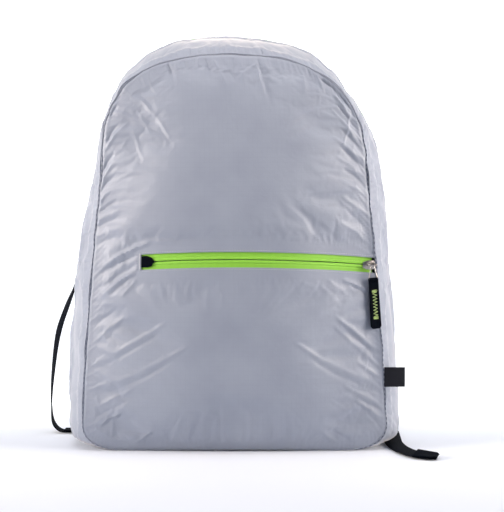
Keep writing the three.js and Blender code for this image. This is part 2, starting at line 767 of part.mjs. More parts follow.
// The main zip's sliders, each one plain piece: a slider, its bail and a pull down the back of the gusset.
function addMainZipSliders() {
  const across = mainZipFront + mainZipTapeWidth / topDepth / 2;
  const pullStations = (loop) =>
    [0, 0.05, 0.1, 0.15, 0.2].map((ahead) => ({
      centre: bandPoint(loop, across + ahead, seamGap + 1.6 + sliderPlate),
      across: vector(1, 0, 0),
      width: lerp(6, pullTopWidth, smooth(ahead * 12)),
    }));
  for (const [name, side] of [["main_zip_slider_left", -1], ["main_zip_slider_right", 1]]) {
    const loop = 1 - (side * mainZipSliderSpread) / halfOutline.length;
    const plate = [-sliderLength / 2, 0, sliderLength / 2].map((x) => ({
      centre: bandPoint(loop + x / halfOutline.length, across, seamGap + 1.1 + sliderPlate / 2),
      across: vector(0, 1, 0),
      width: sliderWidth,
    }));
    const slider = join(ribbon(plate, sliderPlate), ribbon(pullStations(loop), webbingThickness));
    addPiece(name, slider, "black");
  }
}

// The label, sewn into the right seam and standing out past it.
function addLabel() {
  const seam = vector(halfWidth(labelCentreHeight), -halfDepth(labelCentreHeight), labelCentreHeight);
  const low = seam.clone().add(vector(0.4, -seamGap - labelThickness, -labelHeight / 2));
  const high = seam.clone().add(vector(0.4 + labelLength, -seamGap, labelHeight / 2));
  addPiece("side_label", boxBetween(low, high), "black");
}

// A frame on the back where a ladder lock lies: across, down and outwards.
function lockFrame(side) {
  const x = lockOffset[side];
  const top = strapTopOffset * Math.sign(x);
  const out = panelNormal(backPoint, x, lockHeight, -1);
  const down = vector(x - top, 0, lockHeight - strapTopHeight);
  down.addScaledVector(out, -down.dot(out)).normalize();
  const centre = backPoint(x, lockHeight).addScaledVector(out, lockStandOff);
  const across = down.clone().cross(out).normalize();
  const at = (ahead, lift) => centre.clone().addScaledVector(down, ahead).addScaledVector(out, lift);
  return { centre, across, down, out, at };
}

// A ladder lock: a plate with a slot for the strap above and one for the webbing below.
function addLock(side, frame) {
  const height = 3 * lockBar + 2 * lockSlot;
  const plate = new THREE.BoxGeometry(lockWidth, height, lockThickness);
  const slot = (y) =>
    new THREE.BoxGeometry(lockWidth - 2 * 3.2, lockSlot, lockThickness * 2).translate(0, y, 0);
  const pitch = (lockBar + lockSlot) / 2;
  const lock = cut(plate, slot(pitch), slot(-pitch));
  lock.applyMatrix4(
    new THREE.Matrix4().makeBasis(frame.across, frame.down, frame.out.clone()).setPosition(frame.centre),
  );
  addPiece(`ladder_lock_${side}`, lock, "plastic");
}

// A way round one of the lock's bars, from its outer face through the slot to the side facing the bag.
function roundBar(frame, bar, towards, thickness, width, lead) {
  const off = 0.45 + thickness / 2;
  const turn = [90, 45, 0].map((deg) => {
    const angle = THREE.MathUtils.degToRad(deg);
    return [-lockBar / 2 - off * Math.cos(angle), lockThickness / 2 + off * Math.sin(angle)];
  });
  const outside = [[lead, lockThickness / 2 + off + 0.2], [lockBar / 2, lockThickness / 2 + off], ...turn];
  const inside = outside.map(([ahead, lift]) => [ahead, -lift]).reverse();
  return [...outside, ...inside].map(([ahead, out]) => ({
    centre: frame.at(bar + towards * ahead, out),
    across: frame.across.clone(),
    width,
  }));
}

// A shoulder strap lies down the back from the top seam and closes round its lock's upper bar.
function addShoulderStrap(side, frame) {
  const top = strapTopOffset * (side === "left" ? -1 : 1);
  const resting = (share, lift, width) => {
    const x = lerp(top, lockOffset[side], share);
    const z = lerp(strapTopHeight, lockHeight, share);
    const [left, right] = [backPoint(x - width / 2, z), backPoint(x + width / 2, z)];
    const out = panelNormal(backPoint, x, z, -1);
    return {
      centre: backPoint(x, z).addScaledVector(out, strapThickness / 2 + lift),
      across: right.sub(left).normalize(),
      width,
    };
  };
  const laid = strapRows.map((row) => resting(row[0], row[1], strapTopWidth * row[2]));
  const upperBar = -(lockBar + lockSlot);
  const round = roundBar(frame, upperBar, -1, strapThickness, webbingWidth, 12).slice(0, -1);
  const strap = ribbon(smoothStations([...laid, ...round], 40), strapThickness);
  addPiece(`shoulder_strap_${side}`, strap, "nylon");
}

// Each lower webbing rises from the bag's lower back corner, turns round the lock's lower bar, and its
// free tail runs down to the floor. Places are in millimetres across, into the depth and up; the last
// three numbers say which way the webbing's width points.
const routeColumns = ["x", "y", "z", "acrossX", "acrossY", "acrossZ"];
const webbingTails = {
  right: [
    [120, 101, 165, 1, 0.2, 0],
    [138, 106, 120, 1, 0.1, 0],
    [160, 108, 70, 1, 0, 0],
    [173, 104, 28, 1, 0, 0],
    [177, 93, 8, 1, 0, 0],
    [178, 74, 2, 1, 0, 0],
    [177, 40, 1.6, 1, 0, 0],
    [175, 0, 1.6, 1, 0, 0],
    [174, -28, 1.6, 1, 0.05, 0],
    [177, -62, 1.6, 0.97, 0.2, 0],
    [184, -91, 1.8, 0.93, 0.37, 0.04],
    [195, -105, 2.2, 0.58, 0.81, 0.08],
    [208, -107, 2.2, 0.1, 0.99, 0.1],
  ],
  left: [
    [-152, 94, 200, 0.8, -0.5, 0.3],
    [-172, 85, 192, 0.35, -0.9, 0.2],
    [-182.5, 78, 179, 0.12, -1, 0.1],
    [-188, 73, 163, 0.22, -1, 0],
    [-194, 69, 147, 0.35, -0.95, 0],
    [-204, 63, 116, 0.4, -0.9, 0],
    [-210, 59, 72, 0.3, -0.95, 0],
    [-212, 57, 32, 0.15, -1, 0],
    [-209, 55, 10, 0, -1, 0],
    [-201, 53, 2.4, 0, -1, 0],
    [-190, 52, 1.6, 0, -1, 0],
    [-180, 52, 1.6, 0, -1, 0],
  ],
};
const webbingFeet = {
  right: [[122, 92, 150], [136, 86, 80], [143, 77, 30], [145, 71, 13]],
  left: [[-137, 92, 150], [-145, 86, 80], [-146, 77, 30], [-145, 71, 13]],
};

function addWebbing(side, frame) {
  const tail = webbingTails[side].map((row) => {
    const place = Object.fromEntries(routeColumns.map((name, i) => [name, row[i]]));
    return {
      centre: vector(place.x, place.y, place.z),
      across: vector(place.acrossX, place.acrossY, place.acrossZ).normalize(),
      width: webbingWidth,
    };
  });
  const foot = webbingFeet[side].map(([x, y, z]) => ({
    centre: vector(x, y, z),
    across: frame.across.clone(),
    width: webbingWidth,
  }));
  const round = roundBar(frame, lockBar + lockSlot, 1, webbingThickness, webbingWidth, 9);
  const stations = smoothStations([...tail.reverse(), ...round, ...foot], 64);
  addPiece(`lower_webbing_${side}`, ribbon(stations, webbingThickness), "black");
}

// The loop for hanging the bag up, lying down over the top of the back.
function addHaulLoop() {
  const high = seamHeight - 9;
  const stations = range(-1, 1, 12).map((t) => {
    const flat = 1 - t ** 2;
    const x = haulHalfSpan * Math.sign(t) * Math.abs(t) ** 0.6;
    const z = high - haulDrop * (1 - t ** 4);
    const out = panelNormal(backPoint, x, z, -1);
    const turned = smooth(Math.abs(t) * 1.8);
    return {
      centre: backPoint(x, z).addScaledVector(out, webbingThickness / 2 + 0.4 + 8.6 * flat),
      across: vector(-Math.sign(t) * turned, 0, turned - 1).normalize(),
      width: webbingWidth * 0.6,
    };
  });
  addPiece("haul_loop", ribbon(smoothStations(stations, 30), webbingThickness), "black");
}

addPanels();
addBand();
addPocketZip();
addMainZipSliders();
addLabel();
for (const side of ["left", "right"]) {
  const frame = lockFrame(side);
  addLock(side, frame);
  addShoulderStrap(side, frame);
  addWebbing(side, frame);
}
addHaulLoop();

export default backpack;
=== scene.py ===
import math

import bmesh
import bpy
import numpy as np
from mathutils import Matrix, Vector


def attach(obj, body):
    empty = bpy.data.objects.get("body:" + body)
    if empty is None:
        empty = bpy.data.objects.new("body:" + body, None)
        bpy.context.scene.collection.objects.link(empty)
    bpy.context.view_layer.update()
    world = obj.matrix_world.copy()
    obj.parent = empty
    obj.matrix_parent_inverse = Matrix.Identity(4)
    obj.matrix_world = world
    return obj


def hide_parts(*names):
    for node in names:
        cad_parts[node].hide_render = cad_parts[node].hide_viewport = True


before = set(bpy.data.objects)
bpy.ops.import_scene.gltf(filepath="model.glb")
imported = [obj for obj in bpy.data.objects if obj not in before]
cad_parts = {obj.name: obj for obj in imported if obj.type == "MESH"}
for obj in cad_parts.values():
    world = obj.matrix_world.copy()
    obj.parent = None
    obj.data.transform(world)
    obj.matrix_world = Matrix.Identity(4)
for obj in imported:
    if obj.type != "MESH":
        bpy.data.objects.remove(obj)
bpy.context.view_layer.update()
bpy.ops.object.select_all(action="DESELECT")

# A packable nylon backpack, stuffed and standing on its base. Lengths are in millimetres until a mesh
# is made; x goes right, y into the depth and z up.
MM = 0.001

# The bag's outline at the seams, and how deep and how full it is.
BASE_HALF_WIDTH = 162
SHOULDER_HALF_WIDTH = 140.5
SIDE_BOW = 2
CORNER_WIDTH = 58
CORNER_HEIGHT = 32
CORNER_POWER = 2.8
CORNER_SPREAD = 0.35
SHOULDER_HEIGHT = 300
SEAM_HEIGHT = 421
ARCH_POWER = 2.6
TOP_LEAN = -5
BASE_DEPTH = 132
TOP_DEPTH = 112
TAPER_FROM = 0.4
FRONT_SWELL = 40
BACK_SWELL = 20
BAND_SWELL = 27

# Cloth, webbing and straps.
CLOTH = 1.2
ZIP_TAPE = 1.0
END_TAB = 1.3
SETTLE_FRAMES = 18
# How much larger than its place the cloth is cut, and how hard it is blown out.
GROWTH = 0.02
PRESSURE = 2.0
FRONT_GROWTH = 0.012
FRONT_PRESSURE = 1.6
SEAM_GAP = 0.3
WEBBING_THICKNESS = 1.5
WEBBING_WIDTH = 20
STRAP_THICKNESS = 2.4

# The band between the panels.
SIDE_SEAM_HEIGHT = 186
MAIN_ZIP_FRONT = 0.56
MAIN_ZIP_WIDTH = 26

# The pocket's zip, its slider, bail and pull.
ZIP_HEIGHT = 205
ZIP_SAG = 7.8
WINDOW_LEFT = -97
WINDOW_HEIGHT = 16
TAPE_HEM = 4
TAPE_GAP = 0.8
TAPE_BEHIND = 0.4
END_TAB_LENGTH = 13.5
SLIDER_FROM_SEAM = 7
SLIDER_GAP = 0.7
SLIDER_PLATE = 1.3
CROWN_SHIFT = 2.2
CROWN_BAR = 1.3
CROWN_WINDOW = 3.9
BAIL_WIRE = 1.3
BAIL_CLEARANCE = 0.35
BAIL_DROP = 15.5
BAIL_TOP_WIDTH = 3.4
BAIL_FOOT_WIDTH = 8.8
PULL_LENGTH = 52
PULL_TOP_WIDTH = 10.4
PULL_BOTTOM_WIDTH = 12
PULL_LEAN = 3.9
PULL_MIDDLE_HEIGHT = 160

# The straps, their ladder locks and the loop at the top.
STRAP_TOP_OFFSET = 60
STRAP_TOP_HEIGHT = 388
STRAP_TOP_WIDTH = 54
LOCK_BAR = 4
LOCK_SLOT = 6
LOCK_THICKNESS = 3.5
LOCK_HEIGHT = 212
LOCK_OFFSET = {"left": -124, "right": 104}
LOCK_STAND_OFF = 7.5
HAUL_HALF_SPAN = 22
HAUL_DROP = 40

# Down each strap: the share of its way, its height off the back and its share of the top width.
STRAP_ROWS = [
    (0, 1.2, 1), (0.14, 5, 1), (0.32, 12, 0.96), (0.5, 17, 0.9), (0.66, 16.5, 0.8), (0.78, 13, 0.55),
]

# The band's swell on the right and the left, against the way from the bottom's middle to the top.
BAND_WAYS = [
    0, 0.15, 0.175, 0.2, 0.225, 0.25, 0.27, 0.36, 0.5, 0.56, 0.63, 0.7, 0.75, 0.8, 0.84, 0.88, 0.92,
    0.96, 1,
]
LEFT_SWELLS = [
    0, 0, 0.5, 1.1, 1.15, 0.86, 0.8, 0.78, 0.75, 0.7, 0.42, 0.2, 0.15, 0.3, 0.5, 0.73, 0.84, 0.86,
    0.86,
]
RIGHT_SWELLS = [
    0, 0, 0.5, 1.05, 1.12, 0.84, 0.78, 0.7, 0.62, 0.64, 0.68, 0.58, 0.38, 0.27, 0.47, 0.68, 0.76,
    0.82, 0.86,
]


def lerp(a, b, t):
    return a + (b - a) * t


def smooth(t):
    t = np.clip(t, 0.0, 1.0)
    return t * t * (3 - 2 * t)


def unit(v):
    v = np.asarray(v, float)
    return v / np.maximum(np.linalg.norm(v, axis=-1, keepdims=True), 1e-12)


def stack(x, y, z):
    return np.stack(np.broadcast_arrays(np.asarray(x, float), y, z), -1)


def lean_at(z):
    return TOP_LEAN * smooth((z - SHOULDER_HEIGHT) / (SEAM_HEIGHT - SHOULDER_HEIGHT))


def half_depth(z):
    return lerp(BASE_DEPTH, TOP_DEPTH, smooth((z / SEAM_HEIGHT - TAPER_FROM) / (1 - TAPER_FROM))) / 2


def half_width(z):
    z = np.asarray(z, float)
    down = np.clip(1 - z / CORNER_HEIGHT, 0, 1)
    low = BASE_HALF_WIDTH - CORNER_WIDTH * (1 - (1 - down**CORNER_POWER) ** (1 / CORNER_POWER))
    rise = (z - CORNER_HEIGHT) / (SHOULDER_HEIGHT - CORNER_HEIGHT)
    side = lerp(BASE_HALF_WIDTH, SHOULDER_HALF_WIDTH, rise) + SIDE_BOW * 4 * rise * (1 - rise)
    up = np.clip((z - SHOULDER_HEIGHT) / (SEAM_HEIGHT - SHOULDER_HEIGHT), 0, 1)
    arch = SHOULDER_HALF_WIDTH * (1 - up**ARCH_POWER) ** (1 / ARCH_POWER)
    return np.where(z < CORNER_HEIGHT, low, np.where(z < SHOULDER_HEIGHT, side, arch))


def quarter(width, height, power, steps):
    """A quarter of a rounded rectangle's edge, rounder the lower the power."""
    angle = np.linspace(0, math.pi / 2, steps + 1)
    c, s = np.clip(np.cos(angle), 0, 1), np.clip(np.sin(angle), 0, 1)
    return np.stack([width * c ** (2 / power), height * s ** (2 / power)], -1)


# The right half of the outline, from the middle of the bottom to the top of the arch.
corner = quarter(CORNER_WIDTH, CORNER_HEIGHT, CORNER_POWER, 60)[::-1]
corner = np.stack([BASE_HALF_WIDTH - CORNER_WIDTH + corner[:, 0], CORNER_HEIGHT - corner[:, 1]], -1)
side_heights = np.linspace(CORNER_HEIGHT, SHOULDER_HEIGHT, 61)[1:]
arch = quarter(SHOULDER_HALF_WIDTH, SEAM_HEIGHT - SHOULDER_HEIGHT, ARCH_POWER, 160)[1:]
OUTLINE = np.concatenate([
    [[0, 0]], corner, np.stack([half_width(side_heights), side_heights], -1), arch + [0, SHOULDER_HEIGHT],
])
ALONG = np.concatenate([[0], np.cumsum(np.linalg.norm(np.diff(OUTLINE, axis=0), axis=1))])
HALF_LENGTH = ALONG[-1]


def outline(loop):
    """The seam's x and z: loop is 0 at the middle of the bottom, 1 at the top and 2 at the bottom again."""
    loop = np.asarray(loop, float)
    way = np.clip(np.where(loop <= 1, loop, 2 - loop), 0, 1) * HALF_LENGTH
    x = np.interp(way, ALONG, OUTLINE[:, 0])
    return np.stack([np.where(loop <= 1, x, -x), np.interp(way, ALONG, OUTLINE[:, 1])], -1)


def outline_frame(loop):
    """The seam's points and the outward directions there."""
    loop = np.asarray(loop, float)
    ahead = unit(outline(np.minimum(2, loop + 0.002)) - outline(np.maximum(0, loop - 0.002)))
    return outline(loop), np.stack([ahead[..., 1], -ahead[..., 0]], -1)


def share_at_height(z):
    return float(np.interp(z, OUTLINE[1:, 1], ALONG[1:])) / HALF_LENGTH


def zip_line(x):
    return ZIP_HEIGHT - ZIP_SAG * (x / half_width(ZIP_HEIGHT)) ** 2


def panel_depth(x, z, swell):
    """How far a panel stands off the bag's middle: a low dome, drawn in near the pull."""
    share = x / np.maximum(1, half_width(z))
    near_pull = smooth(share * 2.2 - 0.6) * smooth(1.9 - np.abs(z - PULL_MIDDLE_HEIGHT) / 60)
    across = np.clip(1 - np.minimum(1, share**2), 0, 1) ** (0.95 + 0.42 * near_pull)
    up = (1 - np.abs(2 * np.clip(z / SEAM_HEIGHT, 0, 1) ** 0.85 - 1) ** 2.6) ** 0.7
    return half_depth(z) + swell * across * up


def front_point(x, z):
    return stack(x + lean_at(z), -panel_depth(x, z, FRONT_SWELL), z)


def back_point(x, z):
    return stack(x + lean_at(z), panel_depth(x, z, BACK_SWELL), z)


def panel_normal(point, x, z, facing):
    across = point(x + 1.5, z) - point(x - 1.5, z)
    up = point(x, z + 1.5) - point(x, z - 1.5)
    return unit(np.cross(across, up)) * facing


def swell_share(loop):
    """The share of its full swell that the band has at each place of the loop."""
    way = np.where(loop <= 1, loop, 2 - loop)
    i = np.clip(np.searchsorted(BAND_WAYS, way), 1, len(BAND_WAYS) - 1)
    ways = np.array(BAND_WAYS)
    t = smooth((way - ways[i - 1]) / (ways[i] - ways[i - 1]))
    left, right = np.array(LEFT_SWELLS), np.array(RIGHT_SWELLS)
    return np.where(loop <= 1, lerp(right[i - 1], right[i], t), lerp(left[i - 1], left[i], t))


def band_point(loop, across):
    """A point of the band: across is 0 at the front seam and 1 at the back seam."""
    loop, across = np.broadcast_arrays(np.asarray(loop, float), np.asarray(across, float))
    p, out = outline_frame(loop)
    belly = np.clip(1 - (2 * across - 1) ** 2, 0, 1) ** 0.93
    rise = BAND_SWELL * swell_share(loop) * belly
    ox, oz = out[..., 0], out[..., 1]
    sideways = np.where(oz < 0, np.sign(ox) * np.abs(ox) ** CORNER_SPREAD, ox)
    # The walls of the solids are thick outwards, so this outer face lies a wall further out.
    wall = CLOTH * smooth((0.5 - np.abs(across - 0.5)) * BASE_DEPTH / 12)
    x = p[..., 0] + sideways * rise + ox * wall + lean_at(p[..., 1])
    z = p[..., 1] + np.maximum(0, oz) * (rise + wall)
    return stack(x, half_depth(p[..., 1]) * (2 * across - 1), z)


# Gathers: slender ridges that the seam draws into the cloth. Each has its place along the seam, its half
# width, its reach from the seam and its lift, from a seeded spread.
rng = np.random.default_rng(11)


def scatter_gathers(least, most, reach, widths):
    """Gathers all round the seam, from least to most apart; about one in six reaches much further."""
    made, place = [], 0.0
    while place < 2 * HALF_LENGTH:
        place += rng.uniform(least, most)
        long = 2.6 if rng.random() < 0.16 else 1
        width, length = rng.uniform(*widths), rng.uniform(*reach) * long
        lift = rng.uniform(0.35, 1.0) * long**0.3
        made.append((place, width, length, lift, rng.uniform(-0.35, 0.35)))
    return np.array(made)


PANEL_GATHERS = scatter_gathers(3.6, 8.5, (6, 17), (0.9, 1.9))
BAND_GATHERS = scatter_gathers(4.5, 10, (8, 26), (1.5, 2.8))
# How strong the gathers are along the seam, right side up to the top and down the left, and how far they
# lean along the seam as they leave it, in the panels and in the band.
GATHER_PLACES = [
    0, 0.16, 0.24, 0.34, 0.42, 0.5, 0.6, 0.7, 0.76, 0.78, 0.84, 0.9, 1.0, 1.1, 1.2, 1.3, 1.4, 1.55,
    1.75, 2.0,
]
GATHER_SHARES = [
    0.1, 0.4, 0.9, 0.9, 0.7, 0.8, 1.0, 1.0, 0.8, 0.7, 0.8, 0.8, 0.8, 0.9, 1.0, 1.0, 0.9, 0.8, 0.5,
    0.1,
]
PANEL_SLANTS = [
    0, 0.2, 0.8, 0.9, 0.9, 0.9, 1.1, 1.6, 2.2, -2.0, -1.6, -0.8, -0.3, 0.2, 0.1, -0.7, -0.9, -0.9,
    -0.4, 0,
]
BAND_SLANTS = [
    0, -0.3, -0.7, -0.6, -0.2, -0.2, 0.1, 0.5, 0.8, 0.8, 0.9, 0.6, 0.1, -0.4, -0.5, -0.1, 0.2, 0.3,
    0.4, 0,
]


def gather_lift(along, away, gathers, slants, reach=1.0):
    """How far the gathers lift the cloth at a way along the seam and a distance from it."""
    total = np.zeros_like(along)
    lean = np.interp(gathers[:, 0] / HALF_LENGTH, GATHER_PLACES, slants) + gathers[:, 4]
    for (place, width, length, lift, _), slant in zip(gathers, lean):
        length = length * reach
        near = (away < 2.6 * length) & (np.abs(along - place - slant * away) < 9 * width)
        if not near.any():
            continue
        a, d = along[near], away[near]
        off = np.abs(a - place - slant * d) / (width * (1 + d / 22) * math.hypot(1, slant) ** 0.6)
        crest = np.exp(-off**1.4) - 0.45 * np.exp(-((off / 2.3) ** 2))
        total[near] += lift * crest * np.exp(-((d / length) ** 1.7))
    strength = np.interp(along / HALF_LENGTH, GATHER_PLACES, GATHER_SHARES)
    return total * strength * smooth(away / 1.6)



def seeded(count, *ranges):
    return [tuple(rng.uniform(*r) for r in ranges) for _ in range(count)]


# The dents' direction, length, phase and depth, and the seam's wander: its rate, phase and size.
SOFT_WAVES = seeded(10, (0, 3.1), (26, 74), (0, 7), (0.12, 0.4))
WANDER = seeded(9, (0.05, 0.34), (0, 7), (0.1, 0.26))


def seam_wander(along):
    """The sewn line isn't even: each gather draws it a little in or out."""
    total = sum(size * np.sin(along * rate + phase) for rate, phase, size in WANDER)
    return total * np.interp(along / HALF_LENGTH, GATHER_PLACES, GATHER_SHARES)


# Folds in the front panel: the half width and lift of each, then the points that it runs through, in
# millimetres across and up. A negative lift is a hollow.
FRONT_FOLDS = [
    (5, 2.2, -97, 376, -78, 351, -59, 319), (6, 1.3, -101, 366, -90, 341, -81, 319),
    (6, 1.0, -105, 365, -102, 330), (3, -1.8, -66, 413, -62, 404, -59, 394), (4, 1.2, -57, 412, -53, 396),
    (3.5, -1.1, -48, 416, -43, 400), (3.5, -1.8, -26, 418, -22, 407, -18, 396),
    (4.5, 2.2, -18, 416, -9, 398, 2, 374), (4, 1.0, -34, 416, -30, 394),
    (4, -1.2, -5, 412, 3, 397, 11, 385), (4, 1.0, 11, 417, 16, 389), (3, -1.6, -120, 380, -114, 386),
    (3, -1.4, -125, 370, -116, 379), (3.5, -1.6, -130, 355, -120, 369),
    (4, -2.2, -134, 328, -129, 338, -119, 350), (4.5, 1.8, -136, 320, -124, 337, -112, 347),
    (4, -2.2, -140, 295, -135, 306, -124, 320), (4.5, 1.8, -141, 286, -130, 303, -118, 311),
    (4, -1.8, -143, 272, -136, 284, -124, 294), (4, 2.0, -144, 262, -136, 273, -123, 281),
    (4, -2.0, -145, 252, -134, 260, -120, 268), (5, 1.8, -147, 244, -129, 254, -106, 260),
    (4, -1.4, -148, 236, -133, 243, -118, 249), (5, 1.5, -149, 226, -131, 235, -109, 240),
    (4.5, -1.2, -150, 217, -135, 224, -118, 229), (4.5, 3.4, -87, 222, -102, 217, -122, 207, -147, 191),
    (4, -2.6, -98, 210, -113, 204, -137, 192, -149, 184), (3, -1.2, -112, 222, -108, 227),
    (5, 1.4, -95, 224, -77, 224, -54, 222), (4.5, 3.0, -101, 192, -117, 184, -133, 171, -147, 159),
    (4, -2.0, -100, 200, -115, 192, -135, 178), (4.5, 1.8, -102, 183, -111, 173, -120, 162),
    (4, -1.6, -106, 188, -122, 174, -137, 159), (7, 1.2, -105, 343, -100, 319, -91, 298),
    (5, -1.1, -86, 364, -76, 342, -66, 323), (4.5, 2.2, 27, 417, 31, 394, 38, 363),
    (3.5, -1.6, 30, 416, 36, 391, 43, 358), (4, 1.4, 20, 409, 23, 385, 28, 363),
    (3.5, -1.0, 3, 418, 6, 400), (3, 1.0, 37, 416, 41, 400), (3, -0.9, 45, 414, 48, 398),
    (3.5, 0.9, 57, 412, 59, 396), (5, 1.5, 77, 401, 78, 388, 79, 372), (3.5, -1.0, 82, 408, 86, 394),
    (4, 1.3, 91, 402, 95, 392, 99, 381), (5, -2.6, 95, 396, 109, 386, 121, 367),
    (4.5, 2.6, 109, 379, 119, 365, 129, 345), (3.5, -1.8, 114, 382, 126, 363, 133, 348),
    (4, -2.0, 111, 368, 123, 354, 133, 338), (4.5, 2.2, 104, 364, 119, 347, 135, 324),
    (4, -2.0, 113, 343, 126, 330, 136, 318), (5, 2.4, 104, 334, 120, 322, 138, 306),
    (4, -2.0, 111, 324, 125, 311, 138, 299), (5, 2.0, 108, 313, 123, 303, 140, 290),
    (4.5, -1.6, 114, 300, 127, 292, 141, 280), (5, 1.8, 109, 290, 126, 280, 142, 270),
    (5.5, 1.4, 113, 271, 128, 260, 143, 248), (5, -1.2, 118, 256, 131, 246, 144, 233),
    (5.5, 1.3, 111, 244, 129, 233, 145, 221), (4, 2.2, 114, 183, 127, 178, 142, 170),
    (3.5, -2.0, 123, 176, 133, 172, 143, 164), (5, 1.8, 99, 182, 113, 172, 129, 157),
    (5, -1.0, 92, 179, 105, 168, 119, 152), (3.2, -2.4, 143, 171, 144, 157, 146, 142),
    (5, 2.6, 106, 144, 124, 131, 154, 104), (4, -1.8, 117, 130, 133, 117, 154, 97),
    (5, 1.6, 102, 137, 124, 117, 156, 88), (6, 2.4, 62, 120, 92, 100, 122, 84, 158, 69),
    (5, -2.0, 78, 103, 106, 84, 133, 71, 158, 61), (4, 1.8, 129, 96, 144, 86, 159, 75),
    (5, 2.0, 115, 72, 135, 61, 160, 48), (4, -1.6, 124, 60, 142, 51, 160, 40),
    (4.5, 1.7, 128, 56, 144, 45, 159, 32), (6, 1.2, 101, 57, 117, 47, 135, 33),
    (3.5, -1.3, 140, 42, 149, 33, 157, 23), (5, 1.6, 92, 24, 102, 15, 115, 6),
    (4, -1.0, 108, 22, 118, 14, 129, 5), (5, 2.2, -68, 140, -93, 125, -142, 95),
    (4, -1.6, -77, 127, -103, 112, -144, 87), (6, 2.2, -45, 116, -77, 98, -111, 81, -147, 67),
    (5, -1.8, -64, 99, -93, 82, -122, 68, -150, 58), (5, 1.8, -103, 70, -127, 58, -151, 44),
    (4.5, -1.5, -111, 56, -131, 46, -150, 33), (4, 1.5, -118, 43, -135, 34, -146, 22),
    (5, 1.3, -86, 24, -97, 15, -110, 7), (4.5, -1.6, -122, 153, -137, 142, -151, 131),
    (4.5, 1.8, -115, 143, -133, 130, -150, 114),
]


def fold_lift(x, z, folds):
    """Every fold has a crisp crest and soft flanks, and dies away at its ends."""
    total = np.zeros_like(x)
    for width, lift, *points in folds:
        line = np.array(points, float).reshape(-1, 2)
        low, high = line.min(0) - 4 * width, line.max(0) + 4 * width
        near = (x > low[0]) & (x < high[0]) & (z > low[1]) & (z < high[1])
        if not near.any():
            continue
        px, pz = x[near], z[near]
        lengths = np.linalg.norm(np.diff(line, axis=0), axis=1)
        way, gap = np.zeros_like(px), np.full_like(px, 1e9)
        for k, (start, end) in enumerate(zip(line[:-1], line[1:])):
            run = end - start
            t = ((px - start[0]) * run[0] + (pz - start[1]) * run[1]) / lengths[k] ** 2
            inner = np.clip(t, 0, 1)
            d = np.hypot(px - start[0] - inner * run[0], pz - start[1] - inner * run[1])
            closer = d < gap
            way = np.where(closer, (lengths[:k].sum() + inner * lengths[k]) / lengths.sum(), way)
            gap = np.where(closer, d, gap)
        off = gap / (width * (0.35 + 0.6 * way))
        taper = smooth(way * 5 + 0.25) * smooth((1 - way) * 2.2 + 0.05)
        total[near] += lift * 0.8 * taper * (1.25 * np.exp(-off**1.15) - 0.3 * np.exp(-((off / 2.4) ** 2)))
    return total


def grid_normals(points):
    across = np.gradient(points, axis=1)
    up = np.gradient(points, axis=0)
    return unit(np.cross(across, up))


def piece(name, points, faces, material, slot, nodes, uv=None, body="bag"):
    """A mesh in the row frame from points in millimetres, standing for the CAD nodes named."""
    mesh = bpy.data.meshes.new(name)
    mesh.from_pydata((np.asarray(points) * MM).tolist(), [], faces)
    mesh.update()
    if uv is not None:
        layer = mesh.uv_layers.new(name="cloth")
        which = np.empty(len(mesh.loops), int)
        mesh.loops.foreach_get("vertex_index", which)
        layer.data.foreach_set("uv", (np.asarray(uv) * MM)[which].ravel())
    mesh.polygons.foreach_set("use_smooth", [True] * len(mesh.polygons))
    obj = bpy.data.objects.new(name, mesh)
    bpy.context.scene.collection.objects.link(obj)
    if material:
        mesh.materials.append(material)
    obj["body"], obj["slot"], obj["nodes"] = body, slot, list(nodes)
    return obj


def apply(obj, kind, **settings):
    modifier = obj.modifiers.new(kind.lower(), kind)
    for key, value in settings.items():
        setattr(modifier, key, value)
    bpy.context.view_layer.objects.active = obj
    bpy.ops.object.modifier_apply(modifier=modifier.name)
    return obj


def smooth_by_angle(obj, degrees):
    """Shades the piece smoothly but for the edges that turn more than this."""
    bpy.ops.object.select_all(action="DESELECT")
    obj.select_set(True)
    bpy.context.view_layer.objects.active = obj
    bpy.ops.object.shade_smooth_by_angle(angle=math.radians(degrees))
    obj.select_set(False)
    return obj


def wall(obj, thickness):
    """Gives the cloth its thickness, with its cut edges left crisp."""
    apply(obj, "SOLIDIFY", thickness=thickness * MM, offset=-1)
    return smooth_by_angle(obj, 52)


def face_outwards(obj):
    work = bmesh.new()
    work.from_mesh(obj.data)
    bmesh.ops.remove_doubles(work, verts=work.verts, dist=1e-7)
    bmesh.ops.recalc_face_normals(work, faces=work.faces)
    work.to_mesh(obj.data)
    work.free()
    return obj


def grid_faces(rows, columns, keep=None):
    faces = []
    for j in range(rows - 1):
        for i in range(columns - 1):
            if keep is None or keep(j, i):
                a = j * columns + i
                faces.append((a, a + 1, a + columns + 1, a + columns))
    return faces


# A light, stiff nylon that hardly stretches and folds easily.
CLOTH_SETTINGS = {
    "vertex_group_mass": "held", "quality": 6, "mass": 0.06, "tension_stiffness": 24,
    "compression_stiffness": 24, "shear_stiffness": 6, "bending_stiffness": 0.04, "tension_damping": 8,
    "compression_damping": 8, "air_damping": 3, "use_pressure": True,
}


